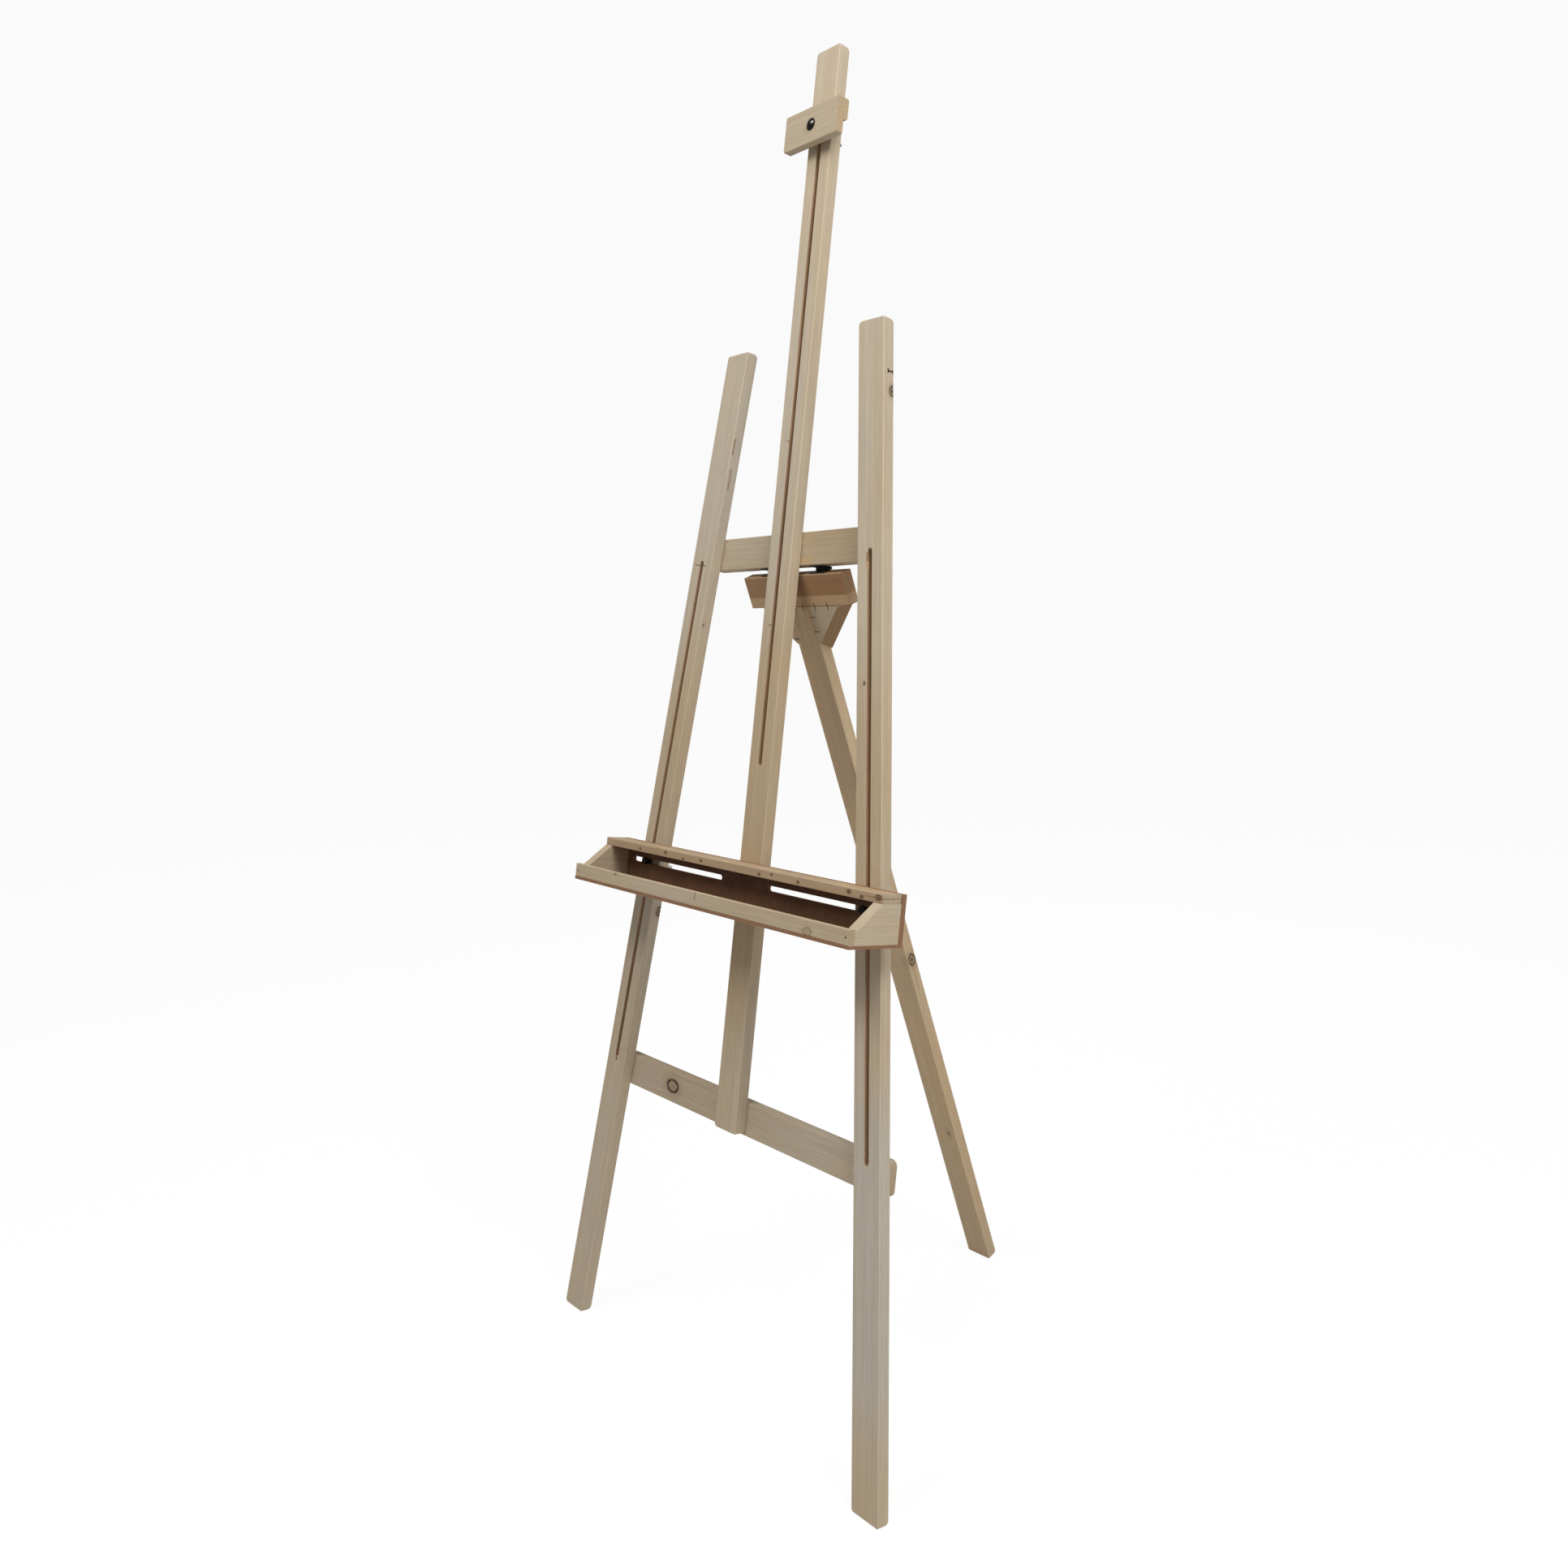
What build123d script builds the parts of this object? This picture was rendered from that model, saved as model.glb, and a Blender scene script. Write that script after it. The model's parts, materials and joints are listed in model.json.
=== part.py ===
from build123d import *
import os
from math import cos, radians, sin, tan

os.makedirs("parts", exist_ok=True)

# Planed pine strip that the whole frame is cut from
board_width = 45
board_thickness = 18
board_length = 1462
edge_soften = 1.2
left_corner_round = 7
right_corner_round = 3
end_round = 9
front_round = 1.5

# Stance
lean = 9.4
leg_splay = 7.5
foot_spread = 650
rear_swing = 28

# Heights measured up the leaning frame from the feet
mast_bottom = 372
lower_bar_bottom = 369
upper_bar_bottom = 1145
lower_bar_length = 578
upper_bar_length = 332
leg_slot_bottom = 407
leg_slot_top = 1157.5
mast_slot_bottom = 872
mast_slot_top = mast_bottom + board_length - 94
slot_play = 1.5

# Tray
tray_length = 588
tray_base = 676.5
tray_height = 63.5
tray_depth = 88
panel_thickness = 8
floor_thickness = 4
lip_height = 19
lip_thickness = 8
rail_depth = 31
rail_thickness = 11.5
end_thickness = 16
tray_slot_inner = 47.5
tray_slot_outer = tray_length / 2 - 26
tray_slot_play = 2
tray_bolt_height = 712.2

# Top holder
holder_height = mast_slot_top - 14
holder_length = 104
holder_width = 48
holder_rebate = 7
holder_rebate_height = 19

# Rear leg head and hinges
head_length = 200
gusset_size = 53
gusset_bevel = 13
hinge_spacing = 100
hinge_width = 28
hinge_leaf = 1.2
hinge_leaf_depth = 16
knuckle_radius = 2
pin_radius = 1

# Hardware
bolt_radius = 3
bolt_head_radius = 5
bolt_head_height = 4
dome_radius = 8
dome_height = 3.6
dome_edge = 0.6
bolt_neck = 2 * bolt_radius + 0.6
nut_bore = bolt_radius + 0.05
washer_bore = bolt_radius + 0.2
washer_radius = 9
washer_thickness = 1.6
wing_reach = 15
hub_radius = 6.2
hub_height = 7.5
bolt_tail = 4
seat_gap = 0.1
slide_gap = 0.2

leg_height = board_length * cos(radians(leg_splay))
leg_half_cut = board_width / 2 / cos(radians(leg_splay))
splay_rate = tan(radians(leg_splay))
rear_tilt = rear_swing - lean
pivot_height = upper_bar_bottom - knuckle_radius
pivot_depth = 2 * board_thickness + 1

# The frame stands on the rounded heel of each front leg
foot_lift = (
    end_round
    - end_round * cos(radians(lean))
    + (board_thickness - end_round) * sin(radians(lean))
)

# Hinge axis seen from the feet, then the rear leg that just reaches the floor
pivot_rise = pivot_height * cos(radians(lean)) - pivot_depth * sin(radians(lean)) + foot_lift
pivot_back = pivot_height * sin(radians(lean)) + pivot_depth * cos(radians(lean))
rear_reach = (
    pivot_rise - (board_thickness - front_round) * sin(radians(rear_tilt)) - front_round
) / cos(radians(rear_tilt)) + front_round
rear_leg_top = knuckle_radius + board_width
rear_foot_back = pivot_back + (rear_reach - end_round) * sin(radians(rear_tilt)) + end_round
rear_foot_back = rear_foot_back - end_round * cos(radians(rear_tilt))
front_foot = front_round * (sin(radians(lean)) + cos(radians(lean)) - 1)
frame_y = -(rear_foot_back + front_foot) / 2

# front: x across, y up the frame, z out of its front face
front = Plane(
    origin=(0, frame_y, foot_lift),
    x_dir=(1, 0, 0),
    z_dir=(0, -cos(radians(lean)), sin(radians(lean))),
)
front_side = Plane(origin=front.origin, x_dir=front.y_dir, z_dir=(1, 0, 0))
pivot = front.from_local_coords(Vector(0, pivot_height, -pivot_depth))

# rear: origin on the hinge axis, y up the rear leg, z towards the front
rear = Plane(
    origin=pivot,
    x_dir=(1, 0, 0),
    z_dir=(0, -cos(radians(rear_tilt)), -sin(radians(rear_tilt))),
)
rear_side = Plane(origin=rear.origin, x_dir=rear.y_dir, z_dir=(1, 0, 0))


def leg_centre(height):
    """Distance of a front leg's centre line from the middle at a height up the frame."""
    return foot_spread / 2 - splay_rate * height


# ---------------------------------------------------------------- screws and staples
upper_bar_middle = upper_bar_bottom + board_width / 2
lower_bar_middle = lower_bar_bottom + board_width / 2
screw_points = []
for level in (upper_bar_middle, lower_bar_middle):
    leg_screws = leg_centre(level) - board_width / 3
    for middle, spread in ((-leg_screws, -3), (0, 13), (leg_screws, 3)):
        screw_points.append((middle - spread, level - 11))
        screw_points.append((middle + spread, level + 11))

with BuildPart() as screw_blanks:
    with BuildSketch(front.offset(-2 * board_thickness)):
        with Locations(*screw_points):
            Circle(3.6)
    extrude(amount=2, taper=45)
    with BuildSketch(front.offset(-2 * board_thickness + 1)):
        with Locations(*screw_points):
            Circle(1.7)
    extrude(amount=29)

with BuildPart() as crossbar_screws:
    add(screw_blanks.part)
    with BuildSketch(front.offset(-2 * board_thickness)):
        with Locations(*screw_points):
            Rectangle(4, 0.9)
            Rectangle(0.9, 4)
    extrude(amount=1, mode=Mode.SUBTRACT)
crossbar_screws.part.label = "crossbar_screws"
export_step(crossbar_screws.part, "parts/crossbar_screws.step")

# Wire staples: a crown lying on the face and two prongs driven into the wood
staple_crown = 11
staple_wire = 0.9
joint_line = -rear_leg_top
upright_staples = [(x, joint_line) for x in (-57, -32, -8, 8, 32, 57)]
level_staples = [
    (board_width / 2, joint_line - 15),
    (board_width / 2, joint_line - 36),
    (-board_width / 2, joint_line - 20),
    (-board_width / 2, joint_line - 46),
]
prong_offset = (staple_crown - staple_wire) / 2

with BuildPart() as staples:
    with BuildSketch(rear.offset(board_thickness - 0.5)):
        with Locations(*upright_staples):
            Rectangle(staple_wire, staple_crown)
        with Locations(*level_staples):
            Rectangle(staple_crown, staple_wire)
    extrude(amount=0.8)
    with BuildSketch(rear.offset(board_thickness)):
        for x, y in upright_staples:
            with Locations((x, y - prong_offset), (x, y + prong_offset)):
                Rectangle(staple_wire, staple_wire)
        for x, y in level_staples:
            with Locations((x - prong_offset, y), (x + prong_offset, y)):
                Rectangle(staple_wire, staple_wire)
    extrude(amount=-9)
staples.part.label = "staples"
export_step(staples.part, "parts/staples.step")

# ---------------------------------------------------------------- hinges
hinge_middles = (-hinge_spacing / 2, hinge_spacing / 2)
knuckle_length = hinge_width / 3 - 0.1
end_knuckle = (hinge_width - knuckle_length) / 2
hinge_screw_points = [(m + dx, 9.5) for m in hinge_middles for dx in (-8.5, 8.5)]

# The frame leaves lie under the upper crossbar, looking down at them
frame_leaf = Plane(origin=pivot, x_dir=(1, 0, 0), z_dir=-front.y_dir)
# The rear leaves lie on top of the head block, looking up at them
rear_leaf = Plane(origin=pivot, x_dir=(1, 0, 0), z_dir=-rear.y_dir)

with BuildPart() as hinge_frame_screws:
    with BuildSketch(frame_leaf.offset(-knuckle_radius + hinge_leaf - 0.7)):
        with Locations(*hinge_screw_points):
            Circle(2.4)
    extrude(amount=0.7)
    with BuildSketch(frame_leaf.offset(-knuckle_radius + hinge_leaf - 0.5)):
        with Locations(*hinge_screw_points):
            Circle(1.2)
    extrude(amount=-13)
hinge_frame_screws.part.label = "hinge_frame_screws"
export_step(hinge_frame_screws.part, "parts/hinge_frame_screws.step")

with BuildPart() as hinge_rear_screws:
    with BuildSketch(rear_leaf.offset(knuckle_radius - hinge_leaf)):
        with Locations(*hinge_screw_points):
            Circle(2.4)
    extrude(amount=0.7)
    with BuildSketch(rear_leaf.offset(knuckle_radius - hinge_leaf + 0.5)):
        with Locations(*hinge_screw_points):
            Circle(1.2)
    extrude(amount=13)
hinge_rear_screws.part.label = "hinge_rear_screws"
export_step(hinge_rear_screws.part, "parts/hinge_rear_screws.step")

with BuildPart() as hinge_frame_leaves:
    for middle in hinge_middles:
        for offset_x in (-end_knuckle, end_knuckle):
            knuckle_middle = pivot + Vector(middle + offset_x)
            with BuildSketch(Plane(origin=knuckle_middle, x_dir=front.y_dir, z_dir=(1, 0, 0))):
                Circle(knuckle_radius)
                with Locations((knuckle_radius - hinge_leaf / 2, hinge_leaf_depth / 2)):
                    Rectangle(hinge_leaf, hinge_leaf_depth)
            extrude(amount=knuckle_length / 2, both=True)
        with BuildSketch(frame_leaf.offset(-knuckle_radius)):
            with Locations((middle, (hinge_leaf_depth + knuckle_radius + 0.4) / 2)):
                Rectangle(hinge_width, hinge_leaf_depth - knuckle_radius - 0.4)
        extrude(amount=hinge_leaf)
    with BuildSketch(Plane(origin=pivot, x_dir=front.y_dir, z_dir=(1, 0, 0))):
        Circle(pin_radius)
    extrude(amount=hinge_spacing, both=True, mode=Mode.SUBTRACT)
    add(hinge_frame_screws.part, mode=Mode.SUBTRACT)
hinge_frame_leaves.part.label = "hinge_frame_leaves"
export_step(hinge_frame_leaves.part, "parts/hinge_frame_leaves.step")

with BuildPart() as hinge_rear_leaves:
    for middle in hinge_middles:
        with BuildSketch(Plane(origin=pivot + Vector(middle), x_dir=rear.y_dir, z_dir=(1, 0, 0))):
            Circle(knuckle_radius)
            with Locations((-knuckle_radius + hinge_leaf / 2, hinge_leaf_depth / 2)):
                Rectangle(hinge_leaf, hinge_leaf_depth)
        extrude(amount=knuckle_length / 2 - 0.1, both=True)
        with BuildSketch(rear_leaf.offset(knuckle_radius - hinge_leaf)):
            with Locations((middle, (hinge_leaf_depth + knuckle_radius + 0.4) / 2)):
                Rectangle(hinge_width, hinge_leaf_depth - knuckle_radius - 0.4)
        extrude(amount=hinge_leaf)
    with BuildSketch(Plane(origin=pivot, x_dir=rear.y_dir, z_dir=(1, 0, 0))):
        Circle(pin_radius + 0.05)
    extrude(amount=hinge_spacing, both=True, mode=Mode.SUBTRACT)
    add(hinge_rear_screws.part, mode=Mode.SUBTRACT)
hinge_rear_leaves.part.label = "hinge_rear_leaves"
export_step(hinge_rear_leaves.part, "parts/hinge_rear_leaves.step")

with BuildPart() as hinge_pins:
    for middle in hinge_middles:
        with BuildSketch(Plane(origin=pivot + Vector(middle), x_dir=front.y_dir, z_dir=(1, 0, 0))):
            Circle(pin_radius)
        extrude(amount=hinge_width / 2 + 0.5, both=True)
hinge_pins.part.label = "hinge_pins"
export_step(hinge_pins.part, "parts/hinge_pins.step")

# ---------------------------------------------------------------- front legs
slot_middle = (leg_slot_bottom + leg_slot_top) / 2
leg_slot_length = (leg_slot_top - leg_slot_bottom) / cos(radians(leg_splay))

foot = front.from_local_coords(Vector(foot_spread / 2, 0, 0))
top = front.from_local_coords(Vector(leg_centre(leg_height), leg_height, 0))
along = (top - foot).normalized()


def front_leg(outer_corner, inner_corner):
    """The right front leg; a left one is its mirror image."""
    with BuildPart() as leg:
        with BuildSketch(Plane(origin=foot - along * 20, x_dir=along.cross(front.z_dir), z_dir=along)):
            with Locations((0, board_thickness / 2)):
                RectangleRounded(board_width, board_thickness, edge_soften)
        extrude(amount=board_length + 40)
        with BuildSketch(front):
            with BuildLine():
                Polyline(
                    (foot_spread / 2 - leg_half_cut, 0),
                    (foot_spread / 2 + leg_half_cut, 0),
                    (leg_centre(leg_height) + leg_half_cut, leg_height),
                    (leg_centre(leg_height) - leg_half_cut, leg_height),
                    close=True,
                )
            make_face()
            low_end = vertices().group_by(Axis.Y)[0].sort_by(Axis.X)
            high_end = vertices().group_by(Axis.Y)[-1].sort_by(Axis.X)
            fillet((low_end[-1], high_end[-1]), radius=outer_corner)
            low_end = vertices().group_by(Axis.Y)[0].sort_by(Axis.X)
            high_end = vertices().group_by(Axis.Y)[-1].sort_by(Axis.X)
            fillet((low_end[0], high_end[0]), radius=inner_corner)
        extrude(amount=2 * board_thickness, both=True, mode=Mode.INTERSECT)
        with BuildSketch(front_side):
            with Locations((leg_height / 2, -board_thickness / 2)):
                Rectangle(leg_height, board_thickness)
            fillet(vertices().group_by(Axis.Y)[0], radius=end_round)
            fillet(vertices().group_by(Axis.Y)[-1], radius=front_round)
        extrude(amount=foot_spread, both=True, mode=Mode.INTERSECT)
        with BuildSketch(front):
            with Locations((leg_centre(slot_middle), slot_middle)):
                SlotOverall(leg_slot_length, 2 * bolt_radius + slot_play, rotation=90 + leg_splay)
        extrude(amount=2 * board_thickness, both=True, mode=Mode.SUBTRACT)
        add(screw_blanks.part, mode=Mode.SUBTRACT)
    return leg.part


with BuildPart() as right_leg:
    add(front_leg(right_corner_round, left_corner_round))
right_leg.part.label = "right_leg"
export_step(right_leg.part, "parts/right_leg.step")

with BuildPart() as left_leg:
    mirror(front_leg(left_corner_round, right_corner_round), about=Plane.YZ)
left_leg.part.label = "left_leg"
export_step(left_leg.part, "parts/left_leg.step")

# ---------------------------------------------------------------- mast
with BuildPart() as mast:
    with BuildSketch(Plane(origin=front.origin, x_dir=(1, 0, 0), z_dir=front.y_dir).offset(mast_bottom)):
        with Locations((0, board_thickness / 2)):
            RectangleRounded(board_width, board_thickness, edge_soften)
    extrude(amount=board_length)
    with BuildSketch(front):
        with Locations((0, mast_bottom + board_length / 2)):
            Rectangle(board_width, board_length)
        fillet(vertices().group_by(Axis.X)[0], radius=left_corner_round)
        fillet(vertices().group_by(Axis.X)[-1], radius=right_corner_round)
    extrude(amount=2 * board_thickness, both=True, mode=Mode.INTERSECT)
    with BuildSketch(front_side):
        with Locations((mast_bottom + board_length / 2, -board_thickness / 2)):
            Rectangle(board_length, board_thickness)
        fillet(vertices().group_by(Axis.Y)[0], radius=end_round)
        fillet(vertices().group_by(Axis.Y)[-1], radius=front_round)
    extrude(amount=board_width, both=True, mode=Mode.INTERSECT)
    with BuildSketch(front):
        with Locations((0, (mast_slot_bottom + mast_slot_top) / 2)):
            SlotOverall(mast_slot_top - mast_slot_bottom, 2 * bolt_radius + slot_play, rotation=90)
    extrude(amount=2 * board_thickness, both=True, mode=Mode.SUBTRACT)
    add(screw_blanks.part, mode=Mode.SUBTRACT)
mast.part.label = "mast"
export_step(mast.part, "parts/mast.step")

# ---------------------------------------------------------------- crossbars
bars = (
    ("upper_crossbar", upper_bar_middle, upper_bar_length, 3),
    ("lower_crossbar", lower_bar_middle, lower_bar_length, 8),
)
for name, level, length, bar_corner in bars:
    with BuildPart() as bar:
        with BuildSketch(front.offset(-2 * board_thickness)):
            with Locations((0, level)):
                RectangleRounded(length, board_width, bar_corner)
        extrude(amount=board_thickness)
        face_edges = edges().filter_by(lambda e: abs(e.tangent_at(0.5).dot(front.z_dir)) < 0.5)
        fillet(face_edges, radius=edge_soften)
        add(screw_blanks.part, mode=Mode.SUBTRACT)
        add(hinge_frame_screws.part, mode=Mode.SUBTRACT)
    bar.part.label = name
    export_step(bar.part, f"parts/{name}.step")

# ---------------------------------------------------------------- rear leg and its head
with BuildPart() as head_block:
    with BuildSketch(rear_side.offset(-head_length / 2)):
        with Locations((-knuckle_radius - board_width / 2, board_thickness / 2)):
            RectangleRounded(board_width, board_thickness, edge_soften)
    extrude(amount=head_length)
    add(staples.part, mode=Mode.SUBTRACT)
    add(hinge_rear_screws.part, mode=Mode.SUBTRACT)
head_block.part.label = "head_block"
export_step(head_block.part, "parts/head_block.step")

rear_leg_length = rear_reach - rear_leg_top
with BuildPart() as rear_leg:
    with BuildSketch(Plane(origin=rear.origin, x_dir=(1, 0, 0), z_dir=-rear.y_dir).offset(rear_leg_top)):
        with Locations((0, board_thickness / 2)):
            RectangleRounded(board_width, board_thickness, edge_soften)
    extrude(amount=rear_leg_length)
    with BuildSketch(rear_side):
        with Locations((-rear_leg_top - rear_leg_length / 2, board_thickness / 2)):
            Rectangle(rear_leg_length, board_thickness)
        back_corner = vertices().group_by(Axis.Y)[0].sort_by(Axis.X)[0]
        fillet(back_corner, radius=end_round)
        front_corner = vertices().group_by(Axis.Y)[-1].sort_by(Axis.X)[0]
        fillet(front_corner, radius=front_round)
    extrude(amount=board_width, both=True, mode=Mode.INTERSECT)
    with BuildSketch(rear):
        with Locations((0, -rear_leg_top - rear_leg_length / 2)):
            Rectangle(board_width, rear_leg_length)
        fillet(vertices().group_by(Axis.Y)[0], radius=3)
    extrude(amount=board_thickness, mode=Mode.INTERSECT)
    add(staples.part, mode=Mode.SUBTRACT)
rear_leg.part.label = "rear_leg"
export_step(rear_leg.part, "parts/rear_leg.step")

# Corner pieces sawn on a bevel, so the back face is larger than the front
for side, name in ((-1, "gusset_left"), (1, "gusset_right")):
    with BuildPart() as gusset:
        for depth, reach in ((0, gusset_size + gusset_bevel), (board_thickness, gusset_size)):
            with BuildSketch(rear.offset(depth)):
                with BuildLine():
                    Polyline(
                        (side * board_width / 2, -rear_leg_top),
                        (side * (board_width / 2 + reach), -rear_leg_top),
                        (side * (board_width / 2 + reach), -rear_leg_top - 2),
                        (side * (board_width / 2 + 2), -rear_leg_top - reach),
                        (side * board_width / 2, -rear_leg_top - reach),
                        close=True,
                    )
                make_face()
        loft(ruled=True)
        add(staples.part, mode=Mode.SUBTRACT)
    gusset.part.label = name
    export_step(gusset.part, f"parts/{name}.step")

# ---------------------------------------------------------------- tray
tray = front.offset(slide_gap)
tray_end = Plane(origin=tray.origin, x_dir=tray.y_dir, z_dir=(1, 0, 0))
tray_top = tray_base + tray_height
tray_floor = tray_base + floor_thickness
rail_base = tray_top - rail_thickness
lip_back = tray_depth - lip_thickness
rail_front = panel_thickness + rail_depth
nail_points = [(side * (tray_length / 2 - 7), tray_floor + 9) for side in (-1, 1)]

with BuildPart() as tray_nails:
    with BuildSketch(tray.offset(tray_depth)):
        with Locations(*nail_points):
            Circle(1.3)
    extrude(amount=-0.8)
    with BuildSketch(tray.offset(tray_depth)):
        with Locations(*nail_points):
            Circle(0.8)
    extrude(amount=-24)
tray_nails.part.label = "tray_nails"
export_step(tray_nails.part, "parts/tray_nails.step")

with BuildPart() as tray_back_panel:
    with BuildSketch(tray):
        with Locations((0, tray_base + tray_height / 2)):
            Rectangle(tray_length, tray_height)
        slot_mid_x = (tray_slot_inner + tray_slot_outer) / 2
        with Locations((-slot_mid_x, tray_bolt_height), (slot_mid_x, tray_bolt_height)):
            SlotOverall(
                tray_slot_outer - tray_slot_inner,
                2 * bolt_radius + tray_slot_play,
                mode=Mode.SUBTRACT,
            )
    extrude(amount=panel_thickness)
tray_back_panel.part.label = "tray_back_panel"
export_step(tray_back_panel.part, "parts/tray_back_panel.step")

with BuildPart() as tray_bottom_panel:
    with BuildSketch(tray_end.offset(-tray_length / 2)):
        with Locations((tray_base, panel_thickness)):
            Rectangle(floor_thickness, tray_depth - panel_thickness + 0.6, align=(Align.MIN, Align.MIN))
    extrude(amount=tray_length)
tray_bottom_panel.part.label = "tray_bottom_panel"
export_step(tray_bottom_panel.part, "parts/tray_bottom_panel.step")

with BuildPart() as tray_lip:
    with BuildSketch(tray_end.offset(-tray_length / 2)):
        with Locations((tray_floor + lip_height / 2, lip_back + lip_thickness / 2)):
            RectangleRounded(lip_height, lip_thickness, 0.8)
    extrude(amount=tray_length)
    add(tray_nails.part, mode=Mode.SUBTRACT)
tray_lip.part.label = "tray_lip"
export_step(tray_lip.part, "parts/tray_lip.step")

with BuildPart() as tray_top_rail:
    with BuildSketch(tray_end.offset(-tray_length / 2 + 1)):
        with Locations((rail_base + rail_thickness / 2, panel_thickness + rail_depth / 2)):
            RectangleRounded(rail_thickness, rail_depth, 1)
    extrude(amount=tray_length - 2)
tray_top_rail.part.label = "tray_top_rail"
export_step(tray_top_rail.part, "parts/tray_top_rail.step")

# End blocks slope down from the rail to the lip
slope_foot = tray_floor + 14.2
for side, name in ((-1, "tray_end_left"), (1, "tray_end_right")):
    with BuildPart() as tray_end_block:
        with BuildSketch(tray_end.offset(side * tray_length / 2)):
            with BuildLine():
                Polyline(
                    (tray_floor, panel_thickness),
                    (tray_floor, lip_back),
                    (slope_foot, lip_back),
                    (rail_base, rail_front),
                    (rail_base, panel_thickness),
                    close=True,
                )
            make_face()
        extrude(amount=-side * end_thickness)
        add(tray_nails.part, mode=Mode.SUBTRACT)
    tray_end_block.part.label = name
    export_step(tray_end_block.part, f"parts/{name}.step")


# ---------------------------------------------------------------- wing nuts and washers
def wing_nut(seat, turn):
    """Wing nut on a plane whose z points away from the wood; turn sets its wings."""
    wings = Plane(
        origin=seat.origin,
        x_dir=seat.x_dir * cos(radians(turn)) + seat.y_dir * sin(radians(turn)),
        z_dir=seat.z_dir,
    )
    upright = Plane(origin=wings.origin, x_dir=wings.x_dir, z_dir=-wings.y_dir)
    with BuildPart() as nut:
        with BuildSketch(wings):
            Circle(hub_radius)
        extrude(amount=hub_height, taper=6)
        with BuildSketch(upright):
            for end in (-1, 1):
                with BuildLine():
                    Polyline(
                        (end * 3.5, 1),
                        (end * 7, 1),
                        (end * (wing_reach - 2.5), 5.5),
                        (end * wing_reach, 9.5),
                        (end * (wing_reach - 0.8), 13),
                        (end * (wing_reach - 3.8), 13.4),
                        (end * 7.5, 8.5),
                        (end * 3.5, hub_height),
                        close=True,
                    )
                make_face()
        extrude(amount=1.2, both=True)
        wing_edges = edges().filter_by(GeomType.LINE).filter_by(
            lambda e: upright.to_local_coords(e.center()).Y > 9
        )
        fillet(wing_edges, radius=0.6)
        with BuildSketch(wings.offset(-1)):
            Circle(nut_bore)
        extrude(amount=20, mode=Mode.SUBTRACT)
    return nut.part


def washer(seat):
    """Flat washer on a plane whose z points away from the wood."""
    with BuildPart() as ring:
        with BuildSketch(seat):
            Circle(washer_radius)
            Circle(washer_bore, mode=Mode.SUBTRACT)
        extrude(amount=washer_thickness)
    return ring.part


# ---------------------------------------------------------------- tray bolts
washer_depth = board_thickness + slide_gap
nut_depth = washer_depth + washer_thickness + seat_gap
bolt_end = nut_depth + hub_height + bolt_tail
back_dir = -front.z_dir

for side, name, turn in ((-1, "left", 35), (1, "right", -20)):
    at = Vector(side * leg_centre(tray_bolt_height), tray_bolt_height, 0)
    axis_point = front.from_local_coords(at)
    backwards = Plane(origin=axis_point, x_dir=(1, 0, 0), z_dir=back_dir)
    head_seat = backwards.offset(-slide_gap - panel_thickness - seat_gap)
    with BuildPart() as tray_bolt:
        with BuildSketch(head_seat):
            Circle(bolt_head_radius)
        extrude(amount=-bolt_head_height)
        rim = edges().filter_by(GeomType.CIRCLE).sort_by(Axis(axis_point, front.z_dir))[-1]
        fillet(rim, radius=1)
        with BuildSketch(head_seat.offset(-1)):
            Circle(bolt_radius)
        extrude(amount=1 + seat_gap + panel_thickness + slide_gap + bolt_end)
        with BuildSketch(head_seat.offset(-bolt_head_height)):
            Rectangle(12, 1.2, rotation=20)
        extrude(amount=1.6, mode=Mode.SUBTRACT)
    tray_bolt.part.label = f"tray_bolt_{name}"
    export_step(tray_bolt.part, f"parts/tray_bolt_{name}.step")

    with BuildPart() as tray_washer:
        add(washer(backwards.offset(washer_depth)))
    tray_washer.part.label = f"tray_washer_{name}"
    export_step(tray_washer.part, f"parts/tray_washer_{name}.step")

    with BuildPart() as tray_wing_nut:
        add(wing_nut(backwards.offset(nut_depth), turn))
    tray_wing_nut.part.label = f"tray_wing_nut_{name}"
    export_step(tray_wing_nut.part, f"parts/tray_wing_nut_{name}.step")

# ---------------------------------------------------------------- top holder
holder_axis = front.from_local_coords(Vector(0, holder_height, 0))
holder_back = Plane(origin=holder_axis, x_dir=(1, 0, 0), z_dir=back_dir)
holder_face = slide_gap + board_thickness
holder_foot = holder_height - holder_width / 2
dome_rise = dome_height - dome_edge
dome_curve = (dome_radius ** 2 + dome_rise ** 2) / (2 * dome_rise)
dome_seat = Plane(origin=holder_axis, x_dir=(1, 0, 0), z_dir=front.z_dir).offset(holder_face)

with BuildPart() as holder_bolt:
    with BuildSketch(dome_seat):
        Circle(dome_radius)
    extrude(amount=dome_height)
    with Locations(dome_seat.offset(dome_height - dome_curve)):
        Sphere(dome_curve, mode=Mode.INTERSECT)
    with BuildSketch(front.offset(holder_face + 0.4)):
        with Locations((0, holder_height)):
            Rectangle(bolt_neck, bolt_neck)
    extrude(amount=-4.4)
    with BuildSketch(front.offset(holder_face - 3)):
        with Locations((0, holder_height)):
            Circle(bolt_radius)
    extrude(amount=-holder_face + 3 - bolt_end)
holder_bolt.part.label = "holder_bolt"
export_step(holder_bolt.part, "parts/holder_bolt.step")

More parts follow.
